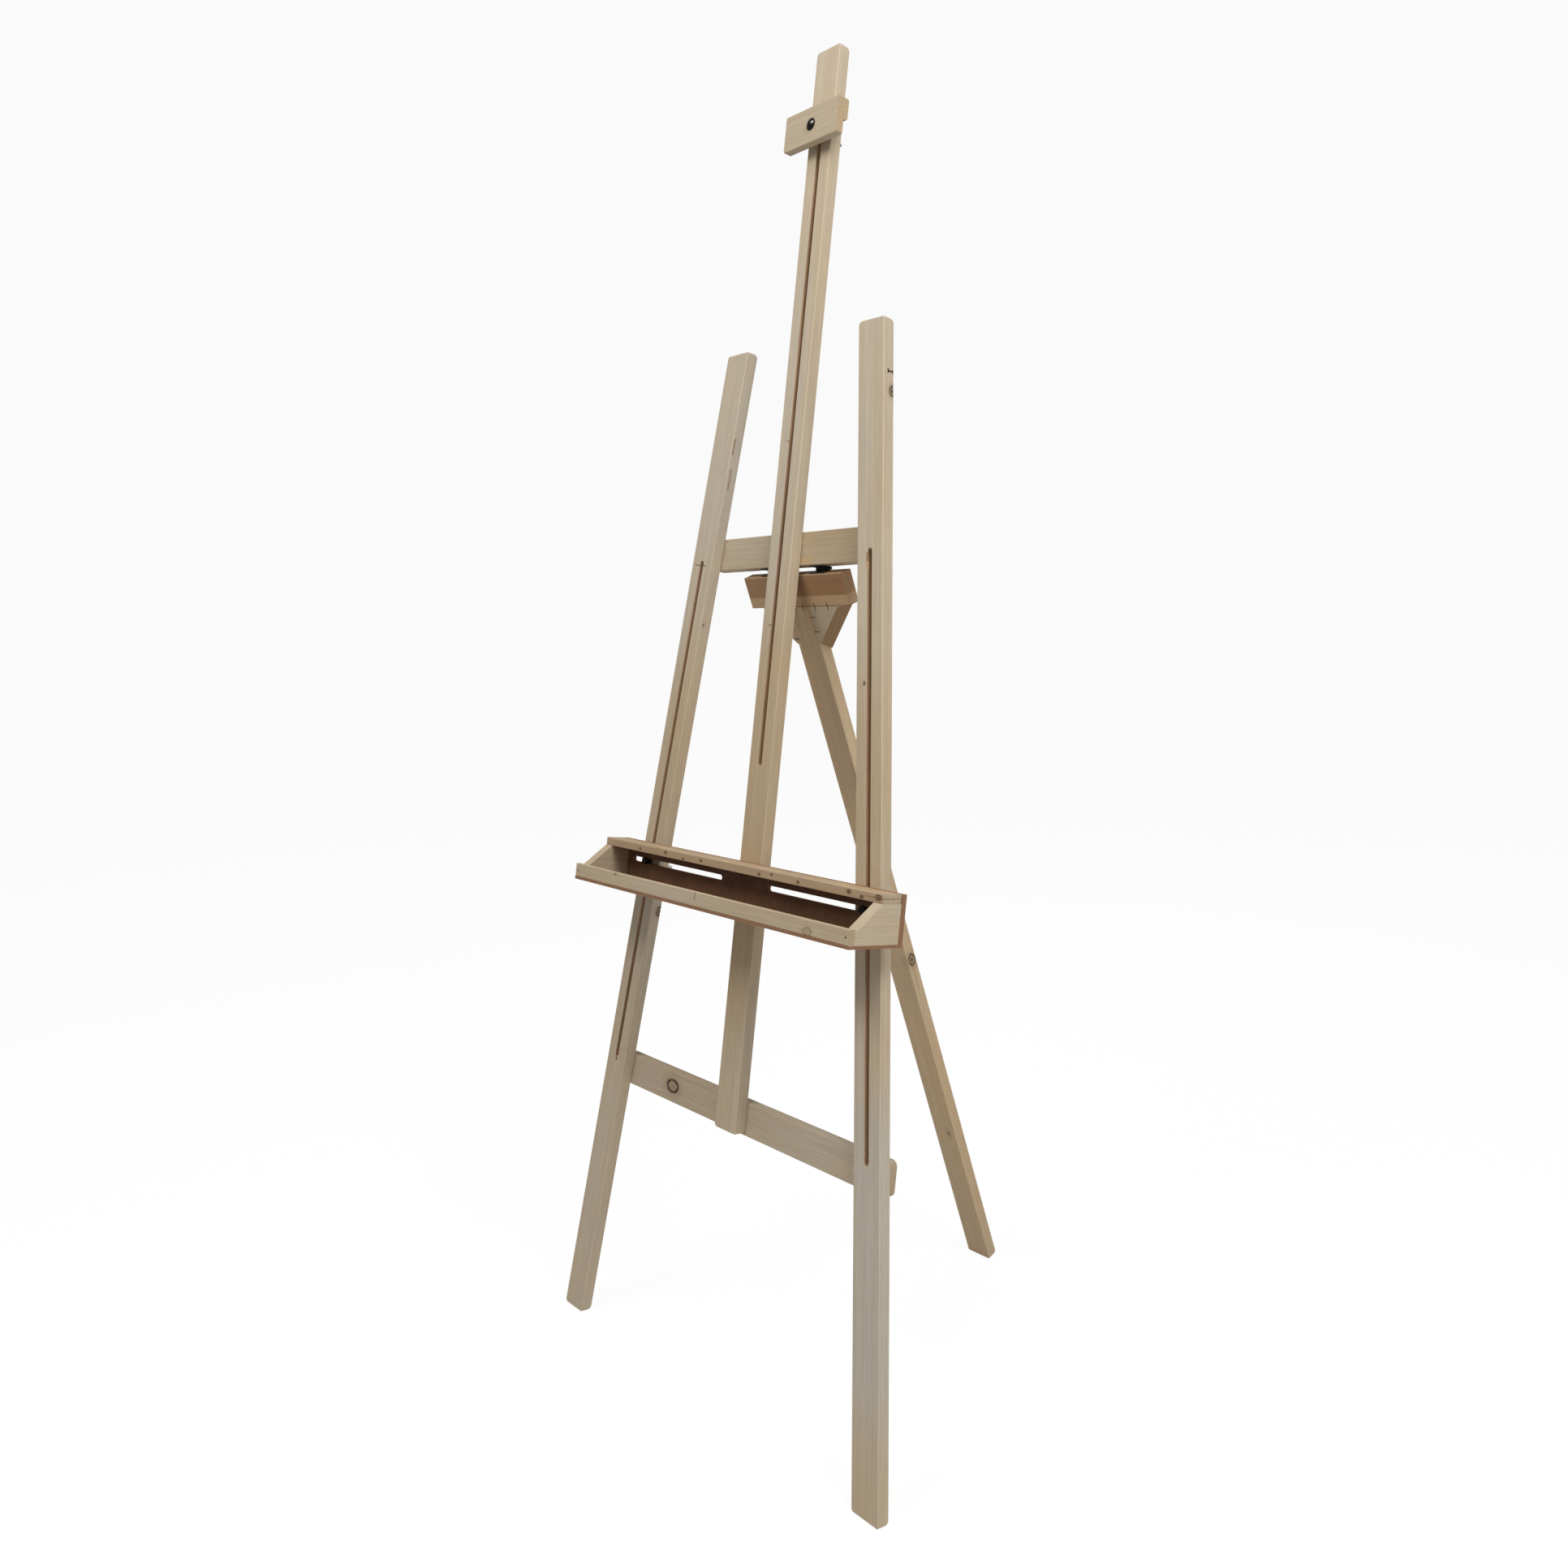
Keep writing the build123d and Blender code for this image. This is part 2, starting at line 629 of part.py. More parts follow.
with BuildPart() as holder_block:
    with BuildSketch(front_side.offset(-holder_length / 2)):
        with BuildLine():
            Polyline(
                (holder_foot, slide_gap + holder_rebate),
                (holder_foot, holder_face),
                (holder_foot + holder_width, holder_face),
                (holder_foot + holder_width, slide_gap),
                (holder_foot + holder_rebate_height, slide_gap),
                (holder_foot + holder_rebate_height, slide_gap + holder_rebate),
                close=True,
            )
        make_face()
        fillet(vertices().group_by(Axis.Y)[0], radius=4)
        fillet(vertices().group_by(Axis.Y)[-1], radius=edge_soften)
    extrude(amount=holder_length)
    with BuildSketch(front):
        with Locations((0, holder_height)):
            RectangleRounded(holder_length, holder_width, 2.5)
    extrude(amount=2 * board_thickness, mode=Mode.INTERSECT)
    add(holder_bolt.part, mode=Mode.SUBTRACT)
holder_block.part.label = "holder_block"
export_step(holder_block.part, "parts/holder_block.step")

with BuildPart() as holder_washer:
    add(washer(holder_back.offset(washer_depth)))
holder_washer.part.label = "holder_washer"
export_step(holder_washer.part, "parts/holder_washer.step")

with BuildPart() as holder_wing_nut:
    add(wing_nut(holder_back.offset(nut_depth), 60))
holder_wing_nut.part.label = "holder_wing_nut"
export_step(holder_wing_nut.part, "parts/holder_wing_nut.step")
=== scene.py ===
import json
import math

import bmesh
import bpy
from bpy.props import FloatProperty, FloatVectorProperty, IntProperty, PointerProperty
from mathutils import Matrix, Vector


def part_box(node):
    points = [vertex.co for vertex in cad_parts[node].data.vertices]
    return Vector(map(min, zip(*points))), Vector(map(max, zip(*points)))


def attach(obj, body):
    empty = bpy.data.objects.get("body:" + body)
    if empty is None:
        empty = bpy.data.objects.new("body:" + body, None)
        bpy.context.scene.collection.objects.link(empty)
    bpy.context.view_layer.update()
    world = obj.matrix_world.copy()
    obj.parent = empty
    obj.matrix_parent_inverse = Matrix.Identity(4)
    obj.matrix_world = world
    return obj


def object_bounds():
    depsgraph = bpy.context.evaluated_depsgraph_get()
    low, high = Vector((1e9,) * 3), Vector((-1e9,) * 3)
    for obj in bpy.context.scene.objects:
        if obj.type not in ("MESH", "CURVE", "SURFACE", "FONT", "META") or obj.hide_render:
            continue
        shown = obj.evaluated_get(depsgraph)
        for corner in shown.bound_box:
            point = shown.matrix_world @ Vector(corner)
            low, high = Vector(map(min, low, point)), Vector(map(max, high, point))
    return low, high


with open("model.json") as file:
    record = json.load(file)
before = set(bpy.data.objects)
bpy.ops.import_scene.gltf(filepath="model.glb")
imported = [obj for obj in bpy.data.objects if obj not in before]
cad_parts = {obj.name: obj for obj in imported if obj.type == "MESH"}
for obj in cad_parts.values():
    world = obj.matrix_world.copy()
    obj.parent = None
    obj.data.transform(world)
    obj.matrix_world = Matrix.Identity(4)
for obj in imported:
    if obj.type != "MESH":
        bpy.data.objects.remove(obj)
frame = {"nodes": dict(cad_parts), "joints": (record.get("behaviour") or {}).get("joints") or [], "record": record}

bl_info = {
    "name": "Artist Easel",
    "version": (1, 0, 0),
    "blender": (4, 5, 0),
    "location": "3D View > Sidebar > Easel",
    "description": "Pine studio easel with a folding rear leg, a sliding tray and a top holder",
    "category": "Object",
}

MM = 0.001
cad_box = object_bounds()
record = frame["record"]
joints = {j["name"]: j for j in frame["joints"]}

# ------------------------------------------------------------------ directions and places
ACROSS = Vector((1, 0, 0))
UP = Vector(joints["tray_slide"]["axis"]).normalized()
OUT = -Vector(joints["holder_swivel"]["axis"]).normalized()
SPLAY = record["behaviour"]["couplings"][0]["ratio"]
HOLDER_AT = Vector(joints["holder_swivel"]["pos_m"])
PIVOT = Vector(joints["rear_leg_fold"]["pos_m"])
REAR_TILT = math.radians(18.6)
REAR_UP = Vector((0, -math.sin(REAR_TILT), math.cos(REAR_TILT)))
REAR_OUT = Vector((0, -math.cos(REAR_TILT), -math.sin(REAR_TILT)))
BOARD = Vector((45, 0, 18)) * MM

# Heights up the frame and a half width, in millimetres
HOLDER_HEIGHT = 1726
TRAY_BOLT_HEIGHT = 712.2
LEG_SLOT = (407, 1157.5)
MAST_SLOT = (872, 1740)
SLOT_HALF_WIDTH = 3.75


def at(u, v, n=0.0):
    """Place on the leaning frame: millimetres across, up the frame and out of its face."""
    return HOLDER_AT + (ACROSS * u + UP * (v - HOLDER_HEIGHT) + OUT * n) * MM


def middle(node):
    """Middle of a CAD node's box."""
    low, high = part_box(node)
    return (low + high) / 2


class Board:
    """A board's own axes: x across it, y along its grain, z out of its face."""

    def __init__(self, origin, along, face):
        self.origin = Vector(origin)
        self.along = along.normalized()
        self.face = face.normalized()
        across = self.along.cross(self.face)
        self.turn = Matrix((across, self.along, self.face)).transposed()

    def local(self, point):
        """A place in the shared frame, in the board's own axes."""
        return self.turn.transposed() @ (point - self.origin)


def on_leg(board, height):
    """The place on a front leg's centre line at a height up the frame."""
    return board.origin + board.along * (height - TRAY_BOLT_HEIGHT) * MM / UP.dot(board.along)


HALF_THICK = OUT * (-BOARD.z / 2)
BOARDS = {
    "left_leg": Board(
        Vector(joints["nut_left_spin"]["pos_m"]) - HALF_THICK, UP + ACROSS * SPLAY, OUT
    ),
    "right_leg": Board(
        Vector(joints["nut_right_spin"]["pos_m"]) - HALF_THICK, UP - ACROSS * SPLAY, OUT
    ),
    "mast": Board(HOLDER_AT + HALF_THICK, UP, OUT),
    "upper_crossbar": Board(middle("upper_crossbar"), ACROSS, OUT),
    "lower_crossbar": Board(middle("lower_crossbar"), ACROSS, OUT),
    "head_block": Board(middle("head_block"), ACROSS, REAR_OUT),
    "rear_leg": Board(PIVOT + REAR_OUT * BOARD.z / 2, REAR_UP, REAR_OUT),
    "gusset_left": Board(middle("gusset_left"), ACROSS + REAR_UP, REAR_OUT),
    "gusset_right": Board(middle("gusset_right"), ACROSS - REAR_UP, REAR_OUT),
    "holder_block": Board(middle("holder_block"), ACROSS, OUT),
    "tray_lip": Board(middle("tray_lip"), ACROSS, OUT),
    "tray_top_rail": Board(middle("tray_top_rail"), ACROSS, UP),
    "tray_end_left": Board(middle("tray_end_left"), OUT, ACROSS),
    "tray_end_right": Board(middle("tray_end_right"), OUT, ACROSS),
    "tray_back_panel": Board(middle("tray_back_panel"), ACROSS, OUT),
    "tray_bottom_panel": Board(middle("tray_bottom_panel"), ACROSS, UP),
}


# ------------------------------------------------------------------ sizes and colours a maker would change
def colour(name, text, value):
    return FloatVectorProperty(
        name=name, description=text, default=value, size=3, subtype="COLOR", min=0.0, max=1.0
    )


class EaselFinish(bpy.types.PropertyGroup):
    """Colours of the wood, board and metal."""

    pine: colour("Pine", "Pale wood between the rings", (0.640, 0.538, 0.400))
    late_wood: colour("Late wood", "Darker line that ends each ring", (0.470, 0.350, 0.215))
    warm: colour("Warm stain", "Heartwood and sun-tanned patches", (0.560, 0.400, 0.225))
    grey: colour("Grey wood", "Cooler patches of sapwood", (0.590, 0.545, 0.465))
    end_grain: colour("End grain", "Sawn ends across the fibres", (0.430, 0.315, 0.190))
    slot_wall: colour("Slot wall", "Rough wood inside the routed slots", (0.370, 0.230, 0.125))
    knot: colour("Knot", "Dark middle of a knot", (0.035, 0.018, 0.010))
    stain: colour("Stain", "Resin and bark stain round knots", (0.270, 0.140, 0.062))
    board: colour("Hardboard", "Dark pressed board of the tray", (0.115, 0.060, 0.033))
    board_edge: colour("Hardboard edge", "Fuzzy sawn edge of the pressed board", (0.230, 0.125, 0.070))
    black_steel: colour("Black steel", "Painted hinges", (0.012, 0.012, 0.013))
    zinc: colour("Zinc", "Plated wing nuts, washers and screws", (0.560, 0.560, 0.550))
    dark_steel: colour("Dark steel", "Staples, nails and tray bolts", (0.075, 0.070, 0.066))


class EaselGrain(bpy.types.PropertyGroup):
    """Sizes of the wood's figure."""

    ring: FloatProperty(
        name="Ring spacing", description="Width of one year's growth", default=3.2 * MM, unit="LENGTH"
    )
    wander: FloatProperty(
        name="Wander", description="How far the grain strays from straight", default=3.5 * MM, unit="LENGTH"
    )
    contrast: FloatProperty(
        name="Ring contrast", description="Strength of the late wood", default=0.22, subtype="FACTOR"
    )
    # Width of the painted highlight along the board edges.
    arris: FloatProperty(
        name="Arris highlight", description="Width of the painted highlight on the board edges", default=1.3 * MM, unit="LENGTH"
    )
    relief: FloatProperty(
        name="Relief", description="Height of the fibres", default=0.12 * MM, unit="LENGTH"
    )


class EaselFibres(bpy.types.PropertyGroup):
    """Torn fibres along the routed slots."""

    spacing: FloatProperty(
        name="Spacing", description="Gap between torn fibres", default=9 * MM, unit="LENGTH"
    )
    length: FloatProperty(name="Length", description="Length of a fibre", default=5 * MM, unit="LENGTH")
    width: FloatProperty(name="Width", description="Thickness of a fibre", default=0.4 * MM, unit="LENGTH")
    seed: IntProperty(name="Seed", description="Changes which fibres are torn", default=4)


class EaselStudio(bpy.types.PropertyGroup):
    """Floor and lights."""

    floor: colour("Floor", "Pale studio floor", (0.80, 0.80, 0.795))
    lift: FloatProperty(
        name="Floor lift", description="Brightens the seen floor to meet the room", default=0.935
    )
    front: FloatProperty(name="Front light", description="Soft light above and in front", default=39.0)
    side: FloatProperty(name="Side light", description="Soft light from the right", default=43.0)
    fill: FloatProperty(name="Fill light", description="Weak low light from the right", default=7.0)
    back: FloatProperty(name="Back light", description="Weak light from behind", default=12.0)
    room: FloatProperty(name="Room light", description="Even light from all round", default=0.20)


# ------------------------------------------------------------------ node shorthand
def node(tree, kind, values=None, **settings):
    """Adds a node, sets it up and joins or fills its inputs."""
    made = tree.nodes.new(kind)
    for key, value in settings.items():
        setattr(made, key, value)
    for key, value in (values or {}).items():
        if isinstance(value, bpy.types.NodeSocket):
            tree.links.new(value, made.inputs[key])
        else:
            made.inputs[key].default_value = value
    return made


def maths(tree, operation, *values, clamp=False):
    made = node(tree, "ShaderNodeMath", dict(enumerate(values)), operation=operation, use_clamp=clamp)
    return made.outputs[0]


def vector(tree, operation, *values):
    made = node(tree, "ShaderNodeVectorMath", dict(enumerate(values)), operation=operation)
    return made.outputs["Value" if operation in ("LENGTH", "DOT_PRODUCT") else "Vector"]


def smooth(tree, value, low, high, out_low=0.0, out_high=1.0):
    made = node(
        tree,
        "ShaderNodeMapRange",
        {"Value": value, "From Min": low, "From Max": high, "To Min": out_low, "To Max": out_high},
        interpolation_type="SMOOTHSTEP",
    )
    return made.outputs[0]


def noise(tree, place, scale, detail=2.0, rough=0.5, output="Factor"):
    made = node(
        tree, "ShaderNodeTexNoise", {"Vector": place, "Scale": scale, "Detail": detail, "Roughness": rough}
    )
    return made.outputs["Color" if output == "Color" else 0]


def mix(tree, factor, a, b, blend="MIX"):
    """Mixes two colours."""
    made = node(tree, "ShaderNodeMix", data_type="RGBA", blend_type=blend, clamp_factor=True)
    for index, value in ((0, factor), (6, a), (7, b)):
        if isinstance(value, bpy.types.NodeSocket):
            tree.links.new(value, made.inputs[index])
        elif index == 0:
            made.inputs[index].default_value = value
        else:
            made.inputs[index].default_value = (*value[:3], 1.0)
    return made.outputs[2]


def scaled(tone, factor):
    """A colour made lighter or darker."""
    return tuple(c * factor for c in tone)


def group(name, inputs, outputs):
    """An empty shader node group with named sockets; returns it with its inner input and output."""
    tree = bpy.data.node_groups.new(name, "ShaderNodeTree")
    kinds = {"v": "NodeSocketVector", "c": "NodeSocketColor", "f": "NodeSocketFloat"}
    for label, kind in inputs:
        tree.interface.new_socket(label, in_out="INPUT", socket_type=kinds[kind])
    for label, kind in outputs:
        tree.interface.new_socket(label, in_out="OUTPUT", socket_type=kinds[kind])
    return tree, tree.nodes.new("NodeGroupInput").outputs, tree.nodes.new("NodeGroupOutput").inputs


def placed(tree, name, values):
    """Puts a shader node group into a material's tree."""
    made = tree.nodes.new("ShaderNodeGroup")
    made.node_tree = bpy.data.node_groups[name]
    for key, value in values.items():
        if isinstance(value, bpy.types.NodeSocket):
            tree.links.new(value, made.inputs[key])
        else:
            made.inputs[key].default_value = value
    return made.outputs


# ------------------------------------------------------------------ shared shader effects
def make_figure():
    """Growth rings about a pith line beside the board, with fibres and slow changes of tone."""
    inputs = (
        ("Vector", "v"), ("Pith", "v"), ("Spacing", "f"), ("Wander", "f"), ("Swell", "f"), ("Seed", "f")
    )
    outputs = (("Rings", "f"), ("Fibre", "f"), ("Tone", "f"), ("Cool", "f"), ("Height", "f"))
    tree, given, out = group("softwood figure", inputs, outputs)
    moved = vector(tree, "ADD", given["Vector"], node(
        tree, "ShaderNodeCombineXYZ", {"Y": maths(tree, "MULTIPLY", given["Seed"], 3.7)}
    ).outputs[0])
    slow = noise(tree, vector(tree, "MULTIPLY", moved, (6.0, 1.6, 6.0)), 1.0, 2.0, 0.5, "Color")
    bend = vector(tree, "SUBTRACT", slow, (0.5, 0.5, 0.5))
    wander = node(tree, "ShaderNodeVectorMath", {0: bend, "Scale": given["Wander"]}, operation="SCALE")
    strayed = vector(tree, "ADD", moved, vector(tree, "MULTIPLY", wander.outputs[0], (4.0, 0.0, 4.0)))
    offset = vector(tree, "SUBTRACT", strayed, given["Pith"])
    radius = vector(tree, "LENGTH", vector(tree, "MULTIPLY", offset, (1.0, 0.0, 1.0)))
    ripple = noise(tree, vector(tree, "MULTIPLY", moved, (90.0, 4.0, 90.0)), 1.0, 2.0)
    swollen = maths(tree, "ADD", radius, given["Swell"])
    rings = maths(tree, "DIVIDE", swollen, given["Spacing"])
    rings = maths(tree, "ADD", rings, maths(tree, "MULTIPLY", ripple, 0.55))
    part = maths(tree, "FRACT", rings)
    year = node(tree, "ShaderNodeTexWhiteNoise", {"W": maths(tree, "FLOOR", rings)}, noise_dimensions="1D")
    rise = maths(tree, "POWER", part, 2.6)
    fall = smooth(tree, part, 1.0, 0.93)
    late = maths(tree, "MULTIPLY", rise, fall)
    late = maths(tree, "MULTIPLY", late, smooth(tree, year.outputs["Value"], 0.0, 1.0, 0.25, 1.15))
    tree.links.new(late, out["Rings"])
    fine = noise(tree, vector(tree, "MULTIPLY", moved, (1500.0, 26.0, 1500.0)), 1.0, 3.0, 0.6)
    streak = noise(tree, vector(tree, "MULTIPLY", moved, (420.0, 5.0, 420.0)), 1.0, 2.0, 0.6)
    fibre = maths(tree, "ADD", maths(tree, "MULTIPLY", fine, 0.55), maths(tree, "MULTIPLY", streak, 0.45))
    tree.links.new(smooth(tree, fibre, 0.32, 0.68), out["Fibre"])
    patches = noise(tree, vector(tree, "MULTIPLY", moved, (22.0, 3.2, 22.0)), 1.0, 3.0, 0.55)
    tree.links.new(smooth(tree, patches, 0.36, 0.66), out["Tone"])
    cool = noise(tree, vector(tree, "MULTIPLY", moved, (14.0, 2.1, 14.0)), 1.3, 2.0, 0.5)
    tree.links.new(smooth(tree, cool, 0.38, 0.68), out["Cool"])
    height = maths(tree, "ADD", fibre, maths(tree, "MULTIPLY", late, 0.6))
    tree.links.new(height, out["Height"])


def make_end_grain():
    """Speckled pores and arcs on faces sawn across the grain."""
    inputs = (("Vector", "v"), ("Normal", "v"), ("Along", "v"))
    tree, given, out = group("end grain", inputs, (("Mask", "f"), ("Speckle", "f"), ("Saw", "f")))
    facing = maths(tree, "ABSOLUTE", vector(tree, "DOT_PRODUCT", given["Normal"], given["Along"]))
    tree.links.new(smooth(tree, facing, 0.62, 0.88), out["Mask"])
    grit = noise(tree, given["Vector"], 900.0, 3.0, 0.7)
    tree.links.new(smooth(tree, grit, 0.36, 0.66), out["Speckle"])
    saw = noise(tree, vector(tree, "MULTIPLY", given["Vector"], (60.0, 1.0, 1400.0)), 1.0, 2.0, 0.6)
    tree.links.new(smooth(tree, saw, 0.35, 0.65), out["Saw"])


def make_knot():
    """One knot: its dark heart, its outline, the stained wood round it and how it swells the rings."""
    inputs = (("Vector", "v"), ("Centre", "v"), ("Across", "v"), ("Radius", "f"))
    outputs = (("Heart", "f"), ("Outline", "f"), ("Stain", "f"), ("Swell", "f"))
    tree, given, out = group("knot", inputs, outputs)
    flat = vector(
        tree, "MULTIPLY", vector(tree, "SUBTRACT", given["Vector"], given["Centre"]), given["Across"]
    )
    ragged = noise(tree, given["Vector"], 320.0, 2.0, 0.6)
    distance = maths(tree, "DIVIDE", vector(tree, "LENGTH", flat), given["Radius"])
    wobble = maths(tree, "MULTIPLY", maths(tree, "SUBTRACT", ragged, 0.5), 0.5)
    distance = maths(tree, "ADD", distance, wobble)
    tree.links.new(smooth(tree, distance, 0.85, 0.25), out["Heart"])
    rim = smooth(tree, maths(tree, "ABSOLUTE", maths(tree, "SUBTRACT", distance, 1.0)), 0.28, 0.10)
    tree.links.new(rim, out["Outline"])
    tree.links.new(smooth(tree, distance, 2.6, 0.9), out["Stain"])
    swell = maths(tree, "MULTIPLY", smooth(tree, distance, 4.5, 0.0), given["Radius"])
    tree.links.new(swell, out["Swell"])


def make_specks():
    """Scattered pin knots and bark flecks."""
    inputs = (("Vector", "v"), ("Cell", "f"), ("Size", "f"), ("Share", "f"), ("Seed", "f"))
    tree, given, out = group("specks", inputs, (("Speck", "f"), ("Halo", "f")))
    moved = vector(tree, "ADD", given["Vector"], node(
        tree, "ShaderNodeCombineXYZ", {"X": given["Seed"], "Z": given["Seed"]}
    ).outputs[0])
    cells = node(
        tree, "ShaderNodeTexVoronoi",
        {"Vector": vector(tree, "MULTIPLY", moved, (1.0, 0.55, 1.0)),
         "Scale": maths(tree, "DIVIDE", 1.0, given["Cell"]), "Randomness": 1.0},
    )
    pick = node(tree, "ShaderNodeSeparateColor", {0: cells.outputs["Color"]})
    chosen = maths(tree, "LESS_THAN", pick.outputs[0], given["Share"])
    size = maths(tree, "MULTIPLY", given["Size"], smooth(tree, pick.outputs[1], 0.0, 1.0, 0.5, 1.4))
    far = maths(tree, "MULTIPLY", cells.outputs["Distance"], given["Cell"])
    near = maths(tree, "DIVIDE", far, size)
    tree.links.new(maths(tree, "MULTIPLY", smooth(tree, near, 1.0, 0.55), chosen), out["Speck"])
    tree.links.new(maths(tree, "MULTIPLY", smooth(tree, near, 3.2, 0.8), chosen), out["Halo"])


def make_arris_highlight():
    """The long edges of a board: a painted highlight along each arris and a wider band of handling grime."""
    inputs = (("Vector", "v"), ("Half Size", "v"), ("Width", "f"))
    tree, given, out = group("arris highlight and grime", inputs, (("Highlight", "f"), ("Grime", "f")))
    inside = vector(tree, "SUBTRACT", given["Half Size"], vector(tree, "ABSOLUTE", given["Vector"]))
    split = node(tree, "ShaderNodeSeparateXYZ", {0: inside}).outputs
    reach = maths(tree, "ADD", split["X"], split["Z"])
    reach = maths(tree, "DIVIDE", reach, given["Width"])
    chips = noise(tree, vector(tree, "MULTIPLY", given["Vector"], (200.0, 30.0, 200.0)), 1.0, 2.0, 0.6)
    reach = maths(tree, "ADD", reach, maths(tree, "MULTIPLY", maths(tree, "SUBTRACT", chips, 0.5), 1.2))
    # The narrow output is a painted highlight along each long edge; the wide output is handling grime.
    tree.links.new(smooth(tree, reach, 1.25, 0.35), out["Highlight"])
    tree.links.new(smooth(tree, reach, 7.0, 1.0), out["Grime"])


def make_line():
    """A thin straight mark, such as a pencil line, a crack or a cut; also wider bands, such as the painted light
    on the head block.
    """
    inputs = (("Vector", "v"), ("Centre", "v"), ("Half Size", "v"), ("Soft", "f"))
    tree, given, out = group("thin mark", inputs, (("Mark", "f"),))
    off = vector(tree, "ABSOLUTE", vector(tree, "SUBTRACT", given["Vector"], given["Centre"]))
    past = vector(tree, "SUBTRACT", off, given["Half Size"])
    inside = node(tree, "ShaderNodeSeparateXYZ", {0: past}).outputs
    outside = maths(tree, "MAXIMUM", maths(tree, "MAXIMUM", inside["X"], inside["Y"]), inside["Z"])
    ragged = maths(tree, "SUBTRACT", noise(tree, given["Vector"], 700.0, 2.0, 0.6), 0.5)
    outside = maths(tree, "ADD", maths(tree, "DIVIDE", outside, given["Soft"]), ragged)
    tree.links.new(smooth(tree, outside, 1.0, -0.2), out["Mark"])


def make_shared_effects():
    for make in (make_figure, make_end_grain, make_knot, make_specks, make_arris_highlight, make_line):
        make()


# ------------------------------------------------------------------ materials
def new_material(name, rough, specular=0.5, metallic=0.0, coat=0.0):
    made = bpy.data.materials.new(name)
    made.use_nodes = True
    shader = made.node_tree.nodes["Principled BSDF"]
    shader.inputs["Roughness"].default_value = rough
    shader.inputs["Specular IOR Level"].default_value = specular
    shader.inputs["Metallic"].default_value = metallic
    shader.inputs["Coat Weight"].default_value = coat
    return made, made.node_tree, shader.inputs


def board_place(tree, board):
    """Object coordinates turned into a board's own axes."""
    place = tree.nodes.new("ShaderNodeTexCoord").outputs
    turned = node(
        tree, "ShaderNodeMapping",
        {"Vector": place["Object"], "Location": board.origin, "Rotation": board.turn.to_euler()},
        vector_type="TEXTURE",
    )
    return turned.outputs[0], place["Normal"]


FACE_KNOT = (1.0, 0.7, 0.3)
SIDE_KNOT = (0.5, 0.7, 1.0)


